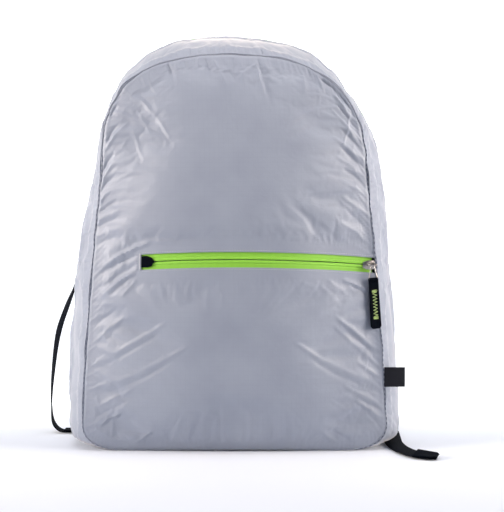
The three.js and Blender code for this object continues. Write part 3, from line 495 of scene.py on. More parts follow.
def settle(obj, held, growth, pressure, cap):
    """Lets the cloth settle: it is cut a little larger than its place and blown out from inside. No point
    moves further than about the cap, in millimetres."""
    scene = bpy.context.scene
    count = len(obj.data.vertices)
    start = np.empty(count * 3)
    obj.data.vertices.foreach_get("co", start)
    start = start.reshape(-1, 3)
    group = obj.vertex_groups.new(name="held")
    for level in np.unique(np.round(held, 2)):
        if level > 0:
            group.add(np.flatnonzero(np.round(held, 2) == level).tolist(), float(level), "REPLACE")
    modifier = obj.modifiers.new("cloth", "CLOTH")
    cloth = modifier.settings
    cut = {"uniform_pressure_force": pressure, "shrink_min": -growth, "shrink_max": -growth}
    for key, value in {**CLOTH_SETTINGS, **cut}.items():
        setattr(cloth, key, value)
    cloth.effector_weights.gravity = 0
    modifier.collision_settings.use_collision = False
    modifier.point_cache.frame_start = 1
    modifier.point_cache.frame_end = SETTLE_FRAMES
    for step in range(1, SETTLE_FRAMES + 1):
        scene.frame_set(step)
    settled = obj.evaluated_get(bpy.context.evaluated_depsgraph_get()).data
    end = np.empty(count * 3)
    settled.vertices.foreach_get("co", end)
    move = end.reshape(-1, 3) - start
    size = np.linalg.norm(move, axis=1, keepdims=True)
    move *= np.tanh(size / (cap * MM)) * cap * MM / np.maximum(size, 1e-9)
    obj.modifiers.remove(modifier)
    obj.vertex_groups.remove(group)
    obj.data.vertices.foreach_set("co", (start + move).ravel())
    obj.data.update()
    scene.frame_set(1)


# Finishes.


def colour(value):
    """An sRGB hex value as linear red, green, blue and alpha."""
    parts = [int(value[i:i + 2], 16) / 255 for i in (1, 3, 5)]
    return [*(c / 12.92 if c <= 0.04045 else ((c + 0.055) / 1.055) ** 2.4 for c in parts), 1.0]


def node(material, kind, values=None, links=None, **settings):
    """Adds a node with its settings, its inputs' values and the links into it."""
    made = material.node_tree.nodes.new(kind)
    for key, value in settings.items():
        setattr(made, key, value)
    for key, value in (values or {}).items():
        made.inputs[key].default_value = value
    for key, (source, output) in (links or {}).items():
        material.node_tree.links.new(source.outputs[output], made.inputs[key])
    return made


def finish(name, **values):
    material = bpy.data.materials.new(name)
    material.use_nodes = True
    shader = material.node_tree.nodes["Principled BSDF"]
    for key, value in values.items():
        shader.inputs[key.replace("_", " ")].default_value = value
    return material, shader


def connect(material, source, output, shader, socket):
    material.node_tree.links.new(source.outputs[output], shader.inputs[socket])


def ribs(material, pitch, direction, place):
    """Even ribs of a weave, so many metres apart. At a scale of 1 Blender draws a wave every 0.314."""
    return node(material, "ShaderNodeTexWave", {"Scale": 0.314 / pitch, "Distortion": 0.0}, {"Vector": place},
                bands_direction=direction)


def grain(material, scale, detail=2.0, **more):
    """Fine noise that stays with the piece."""
    place = node(material, "ShaderNodeTexCoord")
    return node(material, "ShaderNodeTexNoise", {"Scale": scale, "Detail": detail, **more},
                {"Vector": (place, "Object")})


def multiply(material, first, second):
    factors = {0: (first, "Fac"), 1: (second, "Fac")}
    return node(material, "ShaderNodeMath", {}, factors, operation="MULTIPLY")


def ramp(material, source, low, low_tone, high, high_tone):
    """A tone that runs between two colours as the source rises from low to high."""
    tone = node(material, "ShaderNodeValToRGB", {}, {"Fac": source})
    for element, place, value in zip(tone.color_ramp.elements, (low, high), (low_tone, high_tone)):
        element.position, element.color = place, colour(value)
    return tone


def blend(material, shader, first, second, source):
    """Gives the shader a colour between the two, by the source's value."""
    tone = node(material, "ShaderNodeMix", {6: first, 7: second}, {0: (source, "Fac")}, data_type="RGBA")
    connect(material, tone, 2, shader, "Base Color")


def emboss(material, shader, strength, distance, source):
    """Raises the surface by the source's value, at most so many metres."""
    rise = node(material, "ShaderNodeBump", {"Strength": strength, "Distance": distance}, {"Height": source})
    connect(material, rise, "Normal", shader, "Normal")


def shine(material, shader, least, most, source):
    """Lets the roughness run between two values."""
    gloss = node(material, "ShaderNodeMapRange", {"To Min": least, "To Max": most},
                 {"Value": (source, "Fac")})
    connect(material, gloss, "Result", shader, "Roughness")


def ripstop_nylon():
    """Thin woven ripstop nylon with a coating behind: a fine plain weave crossed every few millimetres
    by a thicker thread, a soft sheen on every crease."""
    m, shader = finish("silver_ripstop_nylon", Roughness=0.47, IOR=1.5)
    shader.inputs["Sheen Weight"].default_value = 0.5
    shader.inputs["Sheen Roughness"].default_value = 0.35
    shader.inputs["Sheen Tint"].default_value = colour("#fff8f2")
    uv = node(m, "ShaderNodeUVMap", uv_map="cloth")
    # Threads are about 0.12 mm apart; they are drawn 1.3 mm apart so that they show at all.
    threads = multiply(m, ribs(m, 0.0013, "X", (uv, "UV")), ribs(m, 0.0013, "Y", (uv, "UV")))
    # The stop threads cross every 5 mm.
    cell = node(m, "ShaderNodeTexBrick", {
        "Scale": 1.0, "Mortar Size": 0.0003, "Mortar Smooth": 1.0, "Brick Width": 0.005, "Row Height": 0.005,
        "Color1": (0, 0, 0, 1), "Color2": (0, 0, 0, 1), "Mortar": (1, 1, 1, 1)}, {"Vector": (uv, "UV")},
        offset=0.0, squash=1.0)
    cloudy = grain(m, 18.0, 3.0, Roughness=0.55)
    tone = ramp(m, (cloudy, "Fac"), 0.3, "#8b92a2", 0.7, "#959cab")
    mark = node(m, "ShaderNodeMapRange", {"To Min": 0.0, "To Max": 0.16}, {"Value": (cell, "Fac")})
    mixed = node(m, "ShaderNodeMix", {7: colour("#828494")}, {0: (mark, "Result"), 6: (tone, "Color")},
                 data_type="RGBA")
    connect(m, mixed, 2, shader, "Base Color")
    crumple = grain(m, 120.0, 4.0, Roughness=0.6, Distortion=0.6)
    low = node(m, "ShaderNodeBump", {"Strength": 0.25, "Distance": 0.0009}, {"Height": (crumple, "Fac")})
    weave = node(m, "ShaderNodeBump", {"Strength": 0.16, "Distance": 0.0002},
                 {"Height": (threads, "Value"), "Normal": (low, "Normal")})
    connect(m, weave, "Normal", shader, "Normal")
    shine(m, shader, 0.42, 0.54, crumple)
    return m


def zip_tape_polyester():
    """Woven polyester zip tape, dyed lime green: fine ribs across, with painted shade that makes it slightly
    darker between them.
    """
    m, shader = finish("lime_zip_tape_polyester", Roughness=0.62, IOR=1.5)
    shader.inputs["Sheen Weight"].default_value = 0.2
    uv = node(m, "ShaderNodeUVMap", uv_map="cloth")
    across = ribs(m, 0.0012, "X", (uv, "UV"))
    # Painted shade: the tone is darker where the ribs' bump is low, in the grooves between them.
    tone = ramp(m, (across, "Fac"), 0.1, "#7ab82b", 0.6, "#91d33f")
    connect(m, tone, "Color", shader, "Base Color")
    emboss(m, shader, 0.3, 0.0002, (across, "Fac"))
    return m


def plain_thread(name, value):
    """Twisted polyester sewing thread: a dull shine that breaks up along the twist."""
    m, shader = finish(name, Roughness=0.6, IOR=1.5)
    twist = grain(m, 900.0)
    blend(m, shader, colour(value), [c * 0.7 for c in colour(value)[:3]] + [1], twist)
    emboss(m, shader, 0.3, 0.0002, (twist, "Fac"))
    return m


def black_webbing():
    """Black polyester webbing in a flat herringbone weave: dull, with a fine rib along its length, and
    painted shade darkening the grooves of its weave.
    """
    m, shader = finish("black_polyester_webbing", Roughness=0.72, IOR=1.5)
    shader.inputs["Specular IOR Level"].default_value = 0.02
    uv = node(m, "ShaderNodeUVMap", uv_map="cloth")
    # The ribs are 1.4 mm apart across the webbing, and the slanting picks 1.2 mm apart.
    both = multiply(m, ribs(m, 0.0014, "X", (uv, "UV")), ribs(m, 0.0012, "DIAGONAL", (uv, "UV")))
    # Painted shade: the tone is darker where the weave's bump is low.
    tone = ramp(m, (both, "Value"), 0, "#04060c", 1, "#121724")
    connect(m, tone, "Color", shader, "Base Color")
    emboss(m, shader, 0.5, 0.0004, (both, "Value"))
    return m


def moulded_acetal():
    """Black acetal, injection moulded: a satin face with the finest grain of the mould."""
    m, shader = finish("black_moulded_acetal", Roughness=0.38, IOR=1.48)
    speckle = grain(m, 1400.0)
    blend(m, shader, colour("#15171b"), colour("#1f2227"), speckle)
    emboss(m, shader, 0.15, 0.0001, (speckle, "Fac"))
    return m


def nickel_plate():
    """Nickel-plated zinc, die cast and tumbled: bright, with soft wear on its faces."""
    m, shader = finish("nickel_plated_zinc", Metallic=1.0, Roughness=0.26)
    wear = grain(m, 420.0, 4.0)
    blend(m, shader, colour("#c8c3c0"), colour("#a9a4a3"), wear)
    shine(m, shader, 0.2, 0.38, wear)
    return m


def woven_label():
    """A damask label in black polyester satin: flat and dull, its weave only just seen, with painted shade
    darkening the grooves between its lines.
    """
    m, shader = finish("black_damask_label", Roughness=0.62, IOR=1.5)
    shader.inputs["Specular IOR Level"].default_value = 0.2
    line = ribs(m, 0.0009, "Z", (node(m, "ShaderNodeTexCoord"), "Object"))
    # Painted shade: the tone is darker where the lines' bump is low.
    blend(m, shader, colour("#12131a"), colour("#1d1f28"), line)
    emboss(m, shader, 0.3, 0.0001, (line, "Fac"))
    return m


nylon = ripstop_nylon()
tape_cloth = zip_tape_polyester()
webbing = black_webbing()
acetal = moulded_acetal()
nickel = nickel_plate()
label_cloth = woven_label()
grey_thread = plain_thread("grey_polyester_thread", "#c4c6d2")
dark_thread = plain_thread("navy_polyester_thread", "#3a4260")
shade_thread = plain_thread("slate_polyester_thread", "#72768c")
cloth_thread = plain_thread("silver_polyester_thread", "#a9abbb")
white_thread = plain_thread("white_polyester_thread", "#f2f2f6")
lime_thread = plain_thread("lime_polyester_thread", "#c6e08a")

# The camera, the floor and the light.

# The camera's place in metres, fitted to the outline in the photo.
CAMERA_PLACE = (0.019, -1.567, 0.265)
CAMERA_PITCH = 87.8
SENSOR_WIDTH = 36
FOCAL_LENGTH = 101.07
eye = bpy.data.objects.new("camera", bpy.data.cameras.new("camera"))
bpy.context.scene.collection.objects.link(eye)
eye.location = CAMERA_PLACE
eye.rotation_euler = (math.radians(CAMERA_PITCH), 0, 0)
eye.data.sensor_fit = "HORIZONTAL"
eye.data.sensor_width = SENSOR_WIDTH
eye.data.lens = FOCAL_LENGTH
bpy.context.scene.camera = eye


def stage_plane(name, size, location, rotation, material):
    bpy.ops.object.select_all(action="DESELECT")
    bpy.ops.mesh.primitive_plane_add(size=size, location=location, rotation=rotation)
    plane = bpy.context.object
    plane.name = name
    plane.data.materials.append(material)
    return plane


paper, paper_shader = finish("white_paper_painted_glow", Roughness=0.9)
paper_shader.inputs["Base Color"].default_value = colour("#e9eef7")
# Behind the object the paper glows with painted light, rising to as bright as the backdrop; the glow washes
# out the object's shadow and the lights' fall-off on the floor there.
paper_place = node(paper, "ShaderNodeTexCoord")
paper_split = node(paper, "ShaderNodeSeparateXYZ", {}, {0: (paper_place, "Object")})
paper_range = {"From Min": -0.1, "From Max": 0.45, "To Min": 0.0, "To Max": 0.7}
paper_painted_glow = node(paper, "ShaderNodeMapRange", paper_range, {"Value": (paper_split, "Y")},
                 interpolation_type="SMOOTHSTEP")
# The painted glow is white emission on the paper, which is no lamp.
paper_shader.inputs["Emission Color"].default_value = colour("#ffffff")
connect(paper, paper_painted_glow, "Result", paper_shader, "Emission Strength")
glow, glow_shader = finish("lit_white_paper", Roughness=0.9)
glow_shader.inputs["Base Color"].default_value = colour("#ffffff")
glow_shader.inputs["Emission Color"].default_value = colour("#ffffff")
glow_shader.inputs["Emission Strength"].default_value = 0.9
stage_plane("floor", 12, (0, 0, -0.0004), (0, 0, 0), paper)
stage_plane("backdrop", 14, (0, 4.5, 2), (math.pi / 2, 0, 0), glow)


def soft_light(name, location, target, size, power, tint="#ffffff", spread=180):
    lamp = bpy.data.lights.new(name, "AREA")
    lamp.shape = "RECTANGLE"
    lamp.size, lamp.size_y = size
    lamp.energy = power
    lamp.color = colour(tint)[:3]
    lamp.spread = math.radians(spread)
    obj = bpy.data.objects.new(name, lamp)
    bpy.context.scene.collection.objects.link(obj)
    obj.location = location
    direction = np.array(target, float) - np.array(location, float)
    obj.rotation_euler = Vector(direction).to_track_quat("-Z", "Y").to_euler()
    return obj


# A softbox at each side, one above and a weak, bluish fill in front.
soft_light("softbox_left", (-1.5, -0.5, 0.7), (0, 0, 0.34), (1.0, 0.9), 5.4, "#fff4ea", 50)
soft_light("softbox_right", (1.5, -0.35, 0.7), (0, 0, 0.34), (1.0, 0.9), 5.2, "#fff4ea", 50)
soft_light("softbox_above", (0, -0.15, 1.75), (0, 0, 0.2), (2.0, 1.0), 16, "#fdfcff")
soft_light("fill", (0.1, -2.4, 0.9), (0, 0, 0.2), (1.6, 1.2), 1.2, "#9cc4ff")
world = bpy.data.worlds.new("studio")
bpy.context.scene.world = world
world.use_nodes = True
world.node_tree.nodes["Background"].inputs["Color"].default_value = colour("#cfdcf6")
world.node_tree.nodes["Background"].inputs["Strength"].default_value = 0.05
bpy.context.scene.view_settings.view_transform = "Standard"

# The front and back panels and the band between them.

CORNER_SHARE = share_at_height(CORNER_HEIGHT * 0.3)
ARCH_SHARE = share_at_height(lerp(SHOULDER_HEIGHT, SEAM_HEIGHT, 0.76))


def panel_grid(u, v):
    """Points on a panel's grid, whose four sides follow the outline from corner to corner."""
    bottom = lambda t: outline((lerp(-CORNER_SHARE, CORNER_SHARE, t) + 2) % 2)
    top = lambda t: outline(lerp(2 - ARCH_SHARE, ARCH_SHARE, t))
    right = lambda t: outline(lerp(CORNER_SHARE, ARCH_SHARE, t))
    left = lambda t: outline(2 - lerp(CORNER_SHARE, ARCH_SHARE, t))
    u1, v1 = u[..., None], v[..., None]
    sides = left(v) * (1 - u1) + right(v) * u1
    ends = bottom(u) * (1 - v1) + top(u) * v1
    zero, one = np.zeros_like(u), np.ones_like(u)
    corners = (bottom(zero) * (1 - u1) * (1 - v1) + bottom(one) * u1 * (1 - v1)
               + top(zero) * (1 - u1) * v1 + top(one) * u1 * v1)
    p = sides + ends - corners
    return p[..., 0], p[..., 1]


def spread(steps, crowd):
    """Shares from 0 to 1 that lie closer at both ends, the more so the nearer crowd is to 1."""
    t = np.linspace(0, 1, steps + 1)
    return lerp(t, (1 - np.cos(math.pi * t)) / 2, crowd)


def seam_place(x, z):
    """How far each point is along the outline from the bottom's middle, and how far from the seam."""
    loops = np.linspace(0, 2, 1400)
    line = outline(loops)
    along = np.empty(x.size)
    away = np.empty(x.size)
    flat = np.stack([x.ravel(), z.ravel()], -1)
    for start in range(0, len(flat), 4000):
        part = flat[start:start + 4000]
        gap = np.linalg.norm(part[:, None, :] - line[None], axis=2)
        best = gap.argmin(1)
        along[start:start + 4000] = loops[best] * HALF_LENGTH
        away[start:start + 4000] = gap[np.arange(len(part)), best]
    return along.reshape(x.shape), away.reshape(x.shape)


def cut_size(points):
    """The width and length that a grid of cloth has along itself, and its area, in metres."""
    side = lambda axis: np.linalg.norm(np.diff(points, axis=axis), axis=2).sum(axis).max() * MM
    a, b = points[1:, 1:] - points[:-1, :-1], points[1:, :-1] - points[:-1, 1:]
    area = np.linalg.norm(np.cross(a, b), axis=2).sum() / 2 * MM**2
    return [float(side(1)), float(side(0)), float(area)]


def soft_waves(a, b):
    """Broad, shallow dents where the stuffing inside doesn't fill the cloth."""
    total = np.zeros_like(a)
    for turn, length, phase, size in SOFT_WAVES:
        total += size * np.sin((a * math.cos(turn) + b * math.sin(turn)) * 2 * math.pi / length + phase)
    return total * np.abs(np.sin(a / 61 + 0.7)) ** 0.7


def seam_shift(along, away):
    """The way that the seam's wander moves the cloth near it, across the outline."""
    _, out = outline_frame(along / HALF_LENGTH)
    size = seam_wander(along) * np.exp(-((away / 7) ** 2))
    return stack(out[..., 0] * size, 0 * size, np.maximum(out[..., 1], 0) * size)


def front_panel():
    columns, rows = 182, 238
    u, v = np.meshgrid(spread(columns, 0.45), spread(rows, 0.3))
    x, z = panel_grid(u, v)
    # Two rows of the grid follow the pocket zip's window, and one column its left end.
    middle = columns // 2
    low = int(np.abs(z[:, middle] - (ZIP_HEIGHT - WINDOW_HEIGHT / 2)).argmin())
    high = int(np.abs(z[:, middle] - (ZIP_HEIGHT + WINDOW_HEIGHT / 2)).argmin())
    left = int(np.abs(x[(low + high) // 2] - WINDOW_LEFT).argmin())
    j = np.arange(rows + 1)[:, None]
    for _ in range(3):
        below = zip_line(x[low]) - WINDOW_HEIGHT / 2 - z[low]
        above = zip_line(x[high]) + WINDOW_HEIGHT / 2 - z[high]
        between = lerp(below, above, (j - low) / (high - low))
        upper = np.where(j >= high, above * smooth((rows - j) / (rows - high)), between)
        shift = np.where(j <= low, below * smooth(j / low), upper)
        share = x / np.maximum(half_width(z), 1)
        z = z + shift
        x = np.where((j > 8) & (j < rows - 8), share * half_width(z), x)
    i = np.arange(columns + 1)[None]
    pull = np.where(i <= left, smooth(i / left), smooth((columns - i) / (columns - left)))
    x = x + (WINDOW_LEFT - x[:, left:left + 1]) * pull * np.exp(-(((z - ZIP_HEIGHT) / 50) ** 2))

    along, away = seam_place(x, z)
    base = front_point(x, z)
    normals = grid_normals(base)
    from_window = np.maximum(np.abs(z - zip_line(x)) - WINDOW_HEIGHT / 2, 0)
    from_window = np.hypot(from_window, np.maximum(WINDOW_LEFT - x, 0))
    clear = smooth(from_window / 12)
    lift = fold_lift(x, z, FRONT_FOLDS) * smooth(away / 4) * clear
    lift += gather_lift(along, away, PANEL_GATHERS, PANEL_SLANTS) * clear
    lift += 0.35 * np.exp(-(((away - 3) / 2) ** 2)) * clear * smooth(away / 2)
    points = base + normals * lift[..., None] + seam_shift(along, away) * clear[..., None]
    keep = lambda j, i: not (low <= j < high and i >= left)
    faces = grid_faces(rows + 1, columns + 1, keep)
    flat = np.stack([x, z], -1).reshape(-1, 2)
    obj = piece("front_panel_cloth", points.reshape(-1, 3), faces, nylon, "grey_nylon", ["front_panel"], flat)
    held = np.maximum(1 - smooth((away - 2) / 14), 1 - smooth((from_window - 3) / 16)).ravel()
    settle(obj, held, FRONT_GROWTH, FRONT_PRESSURE, 4.0)
    drop_loose(obj)
    wall(obj, CLOTH)
    size = cut_size(points)
    window = (x.max() - WINDOW_LEFT) * WINDOW_HEIGHT * MM**2
    obj["cut"] = [size[0], size[1], size[2] - float(window)]
    return obj


def drop_loose(obj):
    """Takes out the points that no face uses, as in the window."""
    mesh = bmesh.new()
    mesh.from_mesh(obj.data)
    bmesh.ops.delete(mesh, geom=[v for v in mesh.verts if not v.link_faces], context="VERTS")
    mesh.to_mesh(obj.data)
    mesh.free()


def back_panel():
    columns, rows = 90, 116
    u, v = np.meshgrid(spread(columns, 0.3), spread(rows, 0.3))
    x, z = panel_grid(1 - u, v)
    along, away = seam_place(x, z)
    base = back_point(x, z)
    lift = gather_lift(along, away, PANEL_GATHERS, PANEL_SLANTS)
    points = base + grid_normals(base) * lift[..., None] + seam_shift(along, away)
    flat = np.stack([x, z], -1).reshape(-1, 2)
    obj = piece("back_panel_cloth", points.reshape(-1, 3), grid_faces(rows + 1, columns + 1), nylon,
                "grey_nylon", ["back_panel"], flat)
    held = (1 - smooth((away - 1.5) / 8)).ravel()
    settle(obj, held, GROWTH, PRESSURE, 3.5)
    wall(obj, CLOTH)
    obj["cut"] = cut_size(points)
    return obj


def band_piece(name, node_name, start, end, low, high, pitch, cap):
    """Cloth of the band from one way along the outline to another, gathered at the seams beside it."""
    columns = int(round((end - start) * HALF_LENGTH / pitch))
    rows = int(round((high - low) * BASE_DEPTH / pitch))
    loop, across = np.meshgrid(np.linspace(start, end, columns + 1), np.linspace(low, high, rows + 1))
    base = band_point(loop, across)
    depth = 2 * half_depth(base[..., 2])
    from_front, from_back = across * depth, (1 - across) * depth
    from_ends = np.minimum(loop - start, end - loop) * HALF_LENGTH
    lift = np.zeros_like(loop)
    along = loop * HALF_LENGTH
    if low == 0:
        lift += 1.5 * gather_lift(along, from_front, BAND_GATHERS, BAND_SLANTS, 1.7)
    if high == 1:
        lift += gather_lift(along, from_back, BAND_GATHERS, BAND_SLANTS, 1.6)
    lift += soft_waves(along, across * depth)
    lift *= smooth(from_ends / 10)
    normals = grid_normals(base)
    points = base + normals * lift[..., None] + seam_shift(along, np.minimum(from_front, from_back))
    points[..., 2] = np.maximum(points[..., 2], 0.2)
    flat = np.stack([loop * HALF_LENGTH, across * depth], -1).reshape(-1, 2)
    faces = grid_faces(rows + 1, columns + 1)
    obj = piece(name, points.reshape(-1, 3), faces, nylon, "grey_nylon", [node_name], flat)
    edge = np.minimum(np.minimum(across - low, high - across) * depth, from_ends)
    held = (1 - smooth((edge - 1.0) / 7)).ravel()
    low_cloth = 1 - smooth(base[..., 2].ravel() / 14)
    settle(obj, np.maximum(held, low_cloth), GROWTH, PRESSURE, cap)
    wall(obj, CLOTH)
    obj["cut"] = cut_size(points)
    return obj


FLAT_SHARE = (BASE_HALF_WIDTH - CORNER_WIDTH) / HALF_LENGTH
SIDE_TOP = share_at_height(SIDE_SEAM_HEIGHT)
ZIP_BACK = MAIN_ZIP_FRONT + MAIN_ZIP_WIDTH / TOP_DEPTH

cloth_pieces = [
    front_panel(),
    back_panel(),
    band_piece("side_cloth_right", "side_panel_right", FLAT_SHARE, SIDE_TOP, 0, 1, 1.9, 3.0),
    band_piece("side_cloth_left", "side_panel_left", 2 - SIDE_TOP, 2 - FLAT_SHARE, 0, 1, 1.9, 3.0),
    band_piece("gusset_cloth_front", "gusset_front", SIDE_TOP, 2 - SIDE_TOP, 0, MAIN_ZIP_FRONT, 1.5, 3.0),
    band_piece("gusset_cloth_back", "gusset_back", SIDE_TOP, 2 - SIDE_TOP, ZIP_BACK, 1, 2.4, 2.0),
]

# The zips' tapes.

TAPE_INSET = CLOTH + TAPE_BEHIND


def tape_point(x, rise, lift):
    z = zip_line(x) + rise
    return front_point(x, z) + panel_normal(front_point, x, z, 1) * (np.asarray(lift) - TAPE_INSET)[..., None]


def tape(name, node_name, low, high, side):
    """One tape: a bead of coil under the cloth along the middle, ribs across it, then the flat tape."""
    right = float(half_width(ZIP_HEIGHT)) - 3.2
    columns = int((right - (WINDOW_LEFT - TAPE_HEM)) / 0.6)
    xs = np.linspace(WINDOW_LEFT - TAPE_HEM, right, columns + 1)
    edge = np.array([0, 0.25, 0.5, 0.9, 1.5, 2.1, 2.6, 3.0, 3.4, 3.8, 4.4, 5.2, 6.2, 7.2, 8.4, 10,
                     abs(high - low)])
    rises = low + edge if side > 0 else high - edge
    x, rise = np.meshgrid(xs, rises)
    across = np.abs(rise) - TAPE_GAP / 2
    bead = 0.75 * np.clip(1 - ((across - 1.5) / 1.6) ** 2, 0, 1) ** 0.5
    ribs = 0.09 * np.cos(2 * math.pi * x / 1.35) * np.exp(-((across / 3.2) ** 4))
    groove = -0.22 * np.exp(-(((across - 3.4) / 0.35) ** 2)) - 0.16 * np.exp(-(((across - 6.2) / 0.4) ** 2))
    outer = tape_point(x, rise, bead + ribs + groove)
    inner = tape_point(x, rise, -0.9 + 0 * bead)
    if side < 0:
        outer, inner = outer[::-1], inner[::-1]
        x, rise = x[::-1], rise[::-1]
    rows, count = outer.shape[:2]
    points = np.concatenate([outer.reshape(-1, 3), inner.reshape(-1, 3)])
    flat = np.tile(np.stack([x, rise], -1).reshape(-1, 2), (2, 1))
    total, last, end = rows * count, (rows - 1) * count, count - 1
    faces = grid_faces(rows, count)
    faces += [tuple(total + k for k in f[::-1]) for f in faces]
    rim = [(i + 1, i) for i in range(end)] + [(last + i, last + i + 1) for i in range(end)]
    rim += [(j * count, (j + 1) * count) for j in range(rows - 1)]
    rim += [(end + (j + 1) * count, end + j * count) for j in range(rows - 1)]
    faces += [(a, b, total + b, total + a) for a, b in rim]
    return piece(name, points, faces, tape_cloth, "green_zip_tape", [node_name], flat)


def main_zip():
    """The main zip's two tapes over the arch, with the bead of its covered coil along their middle."""
    columns = 420
    middle = (MAIN_ZIP_FRONT + ZIP_BACK) / 2
    from_middle = np.array([0.2, 0.6, 1.1, 1.7, 2.4, 3.2, 4.2, 5.2, 6.2, 8.5, 11, 13.5])
    from_middle = np.concatenate([-from_middle[::-1], from_middle])
    loop, offset = np.meshgrid(np.linspace(SIDE_TOP + 0.001, 2 - SIDE_TOP - 0.001, columns + 1), from_middle)
    across = middle + offset / TOP_DEPTH
    base = band_point(loop, across)
    bead = 1.1 * np.clip(1 - (np.abs(offset) / 3.1) ** 2.4, 0, 1) ** 0.5
    bead -= 0.7 * np.exp(-((offset / 0.3) ** 2))
    rib = 0.14 * np.sin(loop * HALF_LENGTH * 2 * math.pi / 4.8) * (np.abs(offset) < 3)
    hem = 0.25 * np.exp(-(((np.abs(offset) - 5.2) / 0.6) ** 2))
    points = base + grid_normals(base) * (bead + rib + hem - 0.7)[..., None]
    flat = np.stack([offset, loop * HALF_LENGTH], -1).reshape(-1, 2)
    faces = grid_faces(len(from_middle), columns + 1)
    obj = piece("main_zip_tape", points.reshape(-1, 3), faces, tape_cloth, "green_zip_tape", ["main_zip"],
                flat)
    return wall(obj, ZIP_TAPE)


reach = WINDOW_HEIGHT / 2 + TAPE_HEM
tapes = [
    tape("pocket_zip_upper", "pocket_zip_tape_upper", TAPE_GAP / 2, reach, 1),
    tape("pocket_zip_lower", "pocket_zip_tape_lower", -reach, -TAPE_GAP / 2, -1),
    main_zip(),
]

# The rolls of cloth and the thread in the seams.


def stitch_shape():
    """One stitch, lying along x, one unit long and one unit thick."""
    bpy.ops.object.select_all(action="DESELECT")
    bpy.ops.mesh.primitive_uv_sphere_add(segments=6, ring_count=4, radius=0.5, rotation=(0, math.pi / 2, 0))
    ball = bpy.context.object
    bpy.ops.object.transform_apply(location=False, rotation=True, scale=False)
    mesh = ball.data
    points = np.array([v.co[:] for v in mesh.vertices])
    # The ends are fuller than a ball's, as thread is where it dives into the cloth.
    points[:, 0] = np.sign(points[:, 0]) * 0.5 * np.abs(points[:, 0] * 2) ** 0.7
    faces = [tuple(p.vertices) for p in mesh.polygons]
    bpy.data.objects.remove(ball)
    return points, faces


STITCH_POINTS, STITCH_FACES = stitch_shape()


def stitches(name, centres, along, out, lengths, thickness, material, slot, body="bag"):
    """A row of sewn stitches, each a copy of the one shape laid along the row."""
    along = unit(along)
    out = unit(out - (out * along).sum(-1, keepdims=True) * along)
    side = np.cross(out, along)
    lengths = np.broadcast_to(np.asarray(lengths, float), (len(centres),))
    points = (
        centres[:, None]
        + STITCH_POINTS[None, :, :1] * lengths[:, None, None] * along[:, None]
        + STITCH_POINTS[None, :, 1:2] * thickness * side[:, None]
        + STITCH_POINTS[None, :, 2:3] * thickness * out[:, None]
    )
    count = len(STITCH_POINTS)
    faces = [tuple(k * count + i for i in f) for k in range(len(centres)) for f in STITCH_FACES]
    return piece(name, points.reshape(-1, 3), faces, material, slot, [], body=body)


def row_of(path, out, pitch, length, thickness, name, material, lift):
    """Stitches at an even pitch along a dense path whose outward directions are given."""
    way = np.concatenate([[0], np.cumsum(np.linalg.norm(np.diff(path, axis=0), axis=1))])
    count = max(2, int(way[-1] / pitch))
    places = (np.arange(count) + 0.5) * way[-1] / count
    pick = lambda values, at: np.stack([np.interp(at, way, values[:, k]) for k in range(3)], -1)
    centres = pick(path, places)
    along = pick(path, np.minimum(places + 0.5, way[-1])) - pick(path, np.maximum(places - 0.5, 0))
    directions = unit(pick(out, places))
    centres = centres + directions * lift
    return stitches(name, centres, along, directions, length, thickness, material, "grey_nylon")


def seam_path(start, end, front):
    """The seam's line between two ways round the outline, and its outward directions."""
    loops = np.linspace(start, end, 900)
    p, out = outline_frame(loops)
    facing = -1.0 if front else 1.0
    depth = half_depth(p[:, 1])
    x = p[:, 0] + lean_at(p[:, 1])
    path = stack(x, facing * depth, np.maximum(p[:, 1], 0.3))
    path = path + seam_shift(loops * HALF_LENGTH, 0)
    return path, unit(stack(out[:, 0], facing * 1.2, out[:, 1]))


SEAM_ROLL_RADIUS = 0.85


def tube(path, along, out, radius, sides, closed):
    """The points and faces of a round tube along a path."""
    side = np.cross(along, out)
    turn = np.linspace(0, 2 * math.pi, sides, endpoint=False)[None, :, None]
    points = path[:, None] + (out[:, None] * np.cos(turn) + side[:, None] * np.sin(turn)) * radius
    faces = []
    for i in range(len(path) - (not closed)):
        a, b = i * sides, (i + 1) % len(path) * sides
        faces += [(a + k, a + (k + 1) % sides, b + (k + 1) % sides, b + k) for k in range(sides)]
    return points.reshape(-1, 3), faces


def seam_roll(name, start, end, front):
    """The narrow roll of cloth that the seam's allowances push up between the two pieces."""
    path, out = seam_path(start, end, front)
    path, out = path[::2], out[::2]
    along = unit(np.gradient(path, axis=0))
    radius = SEAM_ROLL_RADIUS + 0.12 * np.sin(np.arange(len(path)) * 1.7)[:, None, None]
    points, faces = tube(path, along, out, radius, 8, False)
    faces += [tuple(range(7, -1, -1)), tuple(range((len(path) - 1) * 8, len(path) * 8))]
    flat = np.stack(np.broadcast_arrays(np.arange(len(path))[:, None] * 1.5, np.arange(8)[None] * 0.5), -1)
    return piece(name, points, faces, nylon, "grey_nylon", [], flat.reshape(-1, 2))


def cross_path(loop, offset):
    """A line over the band from the front seam to the back one, beside the cross seam."""
    across = np.linspace(0.02, 0.98, 160)
    path = band_point(loop, across) + [0, 0, offset]
    ahead = band_point(loop + 0.003, across) - band_point(loop - 0.003, across)
    side = np.gradient(path, axis=0)
    return path, unit(np.cross(ahead, side))


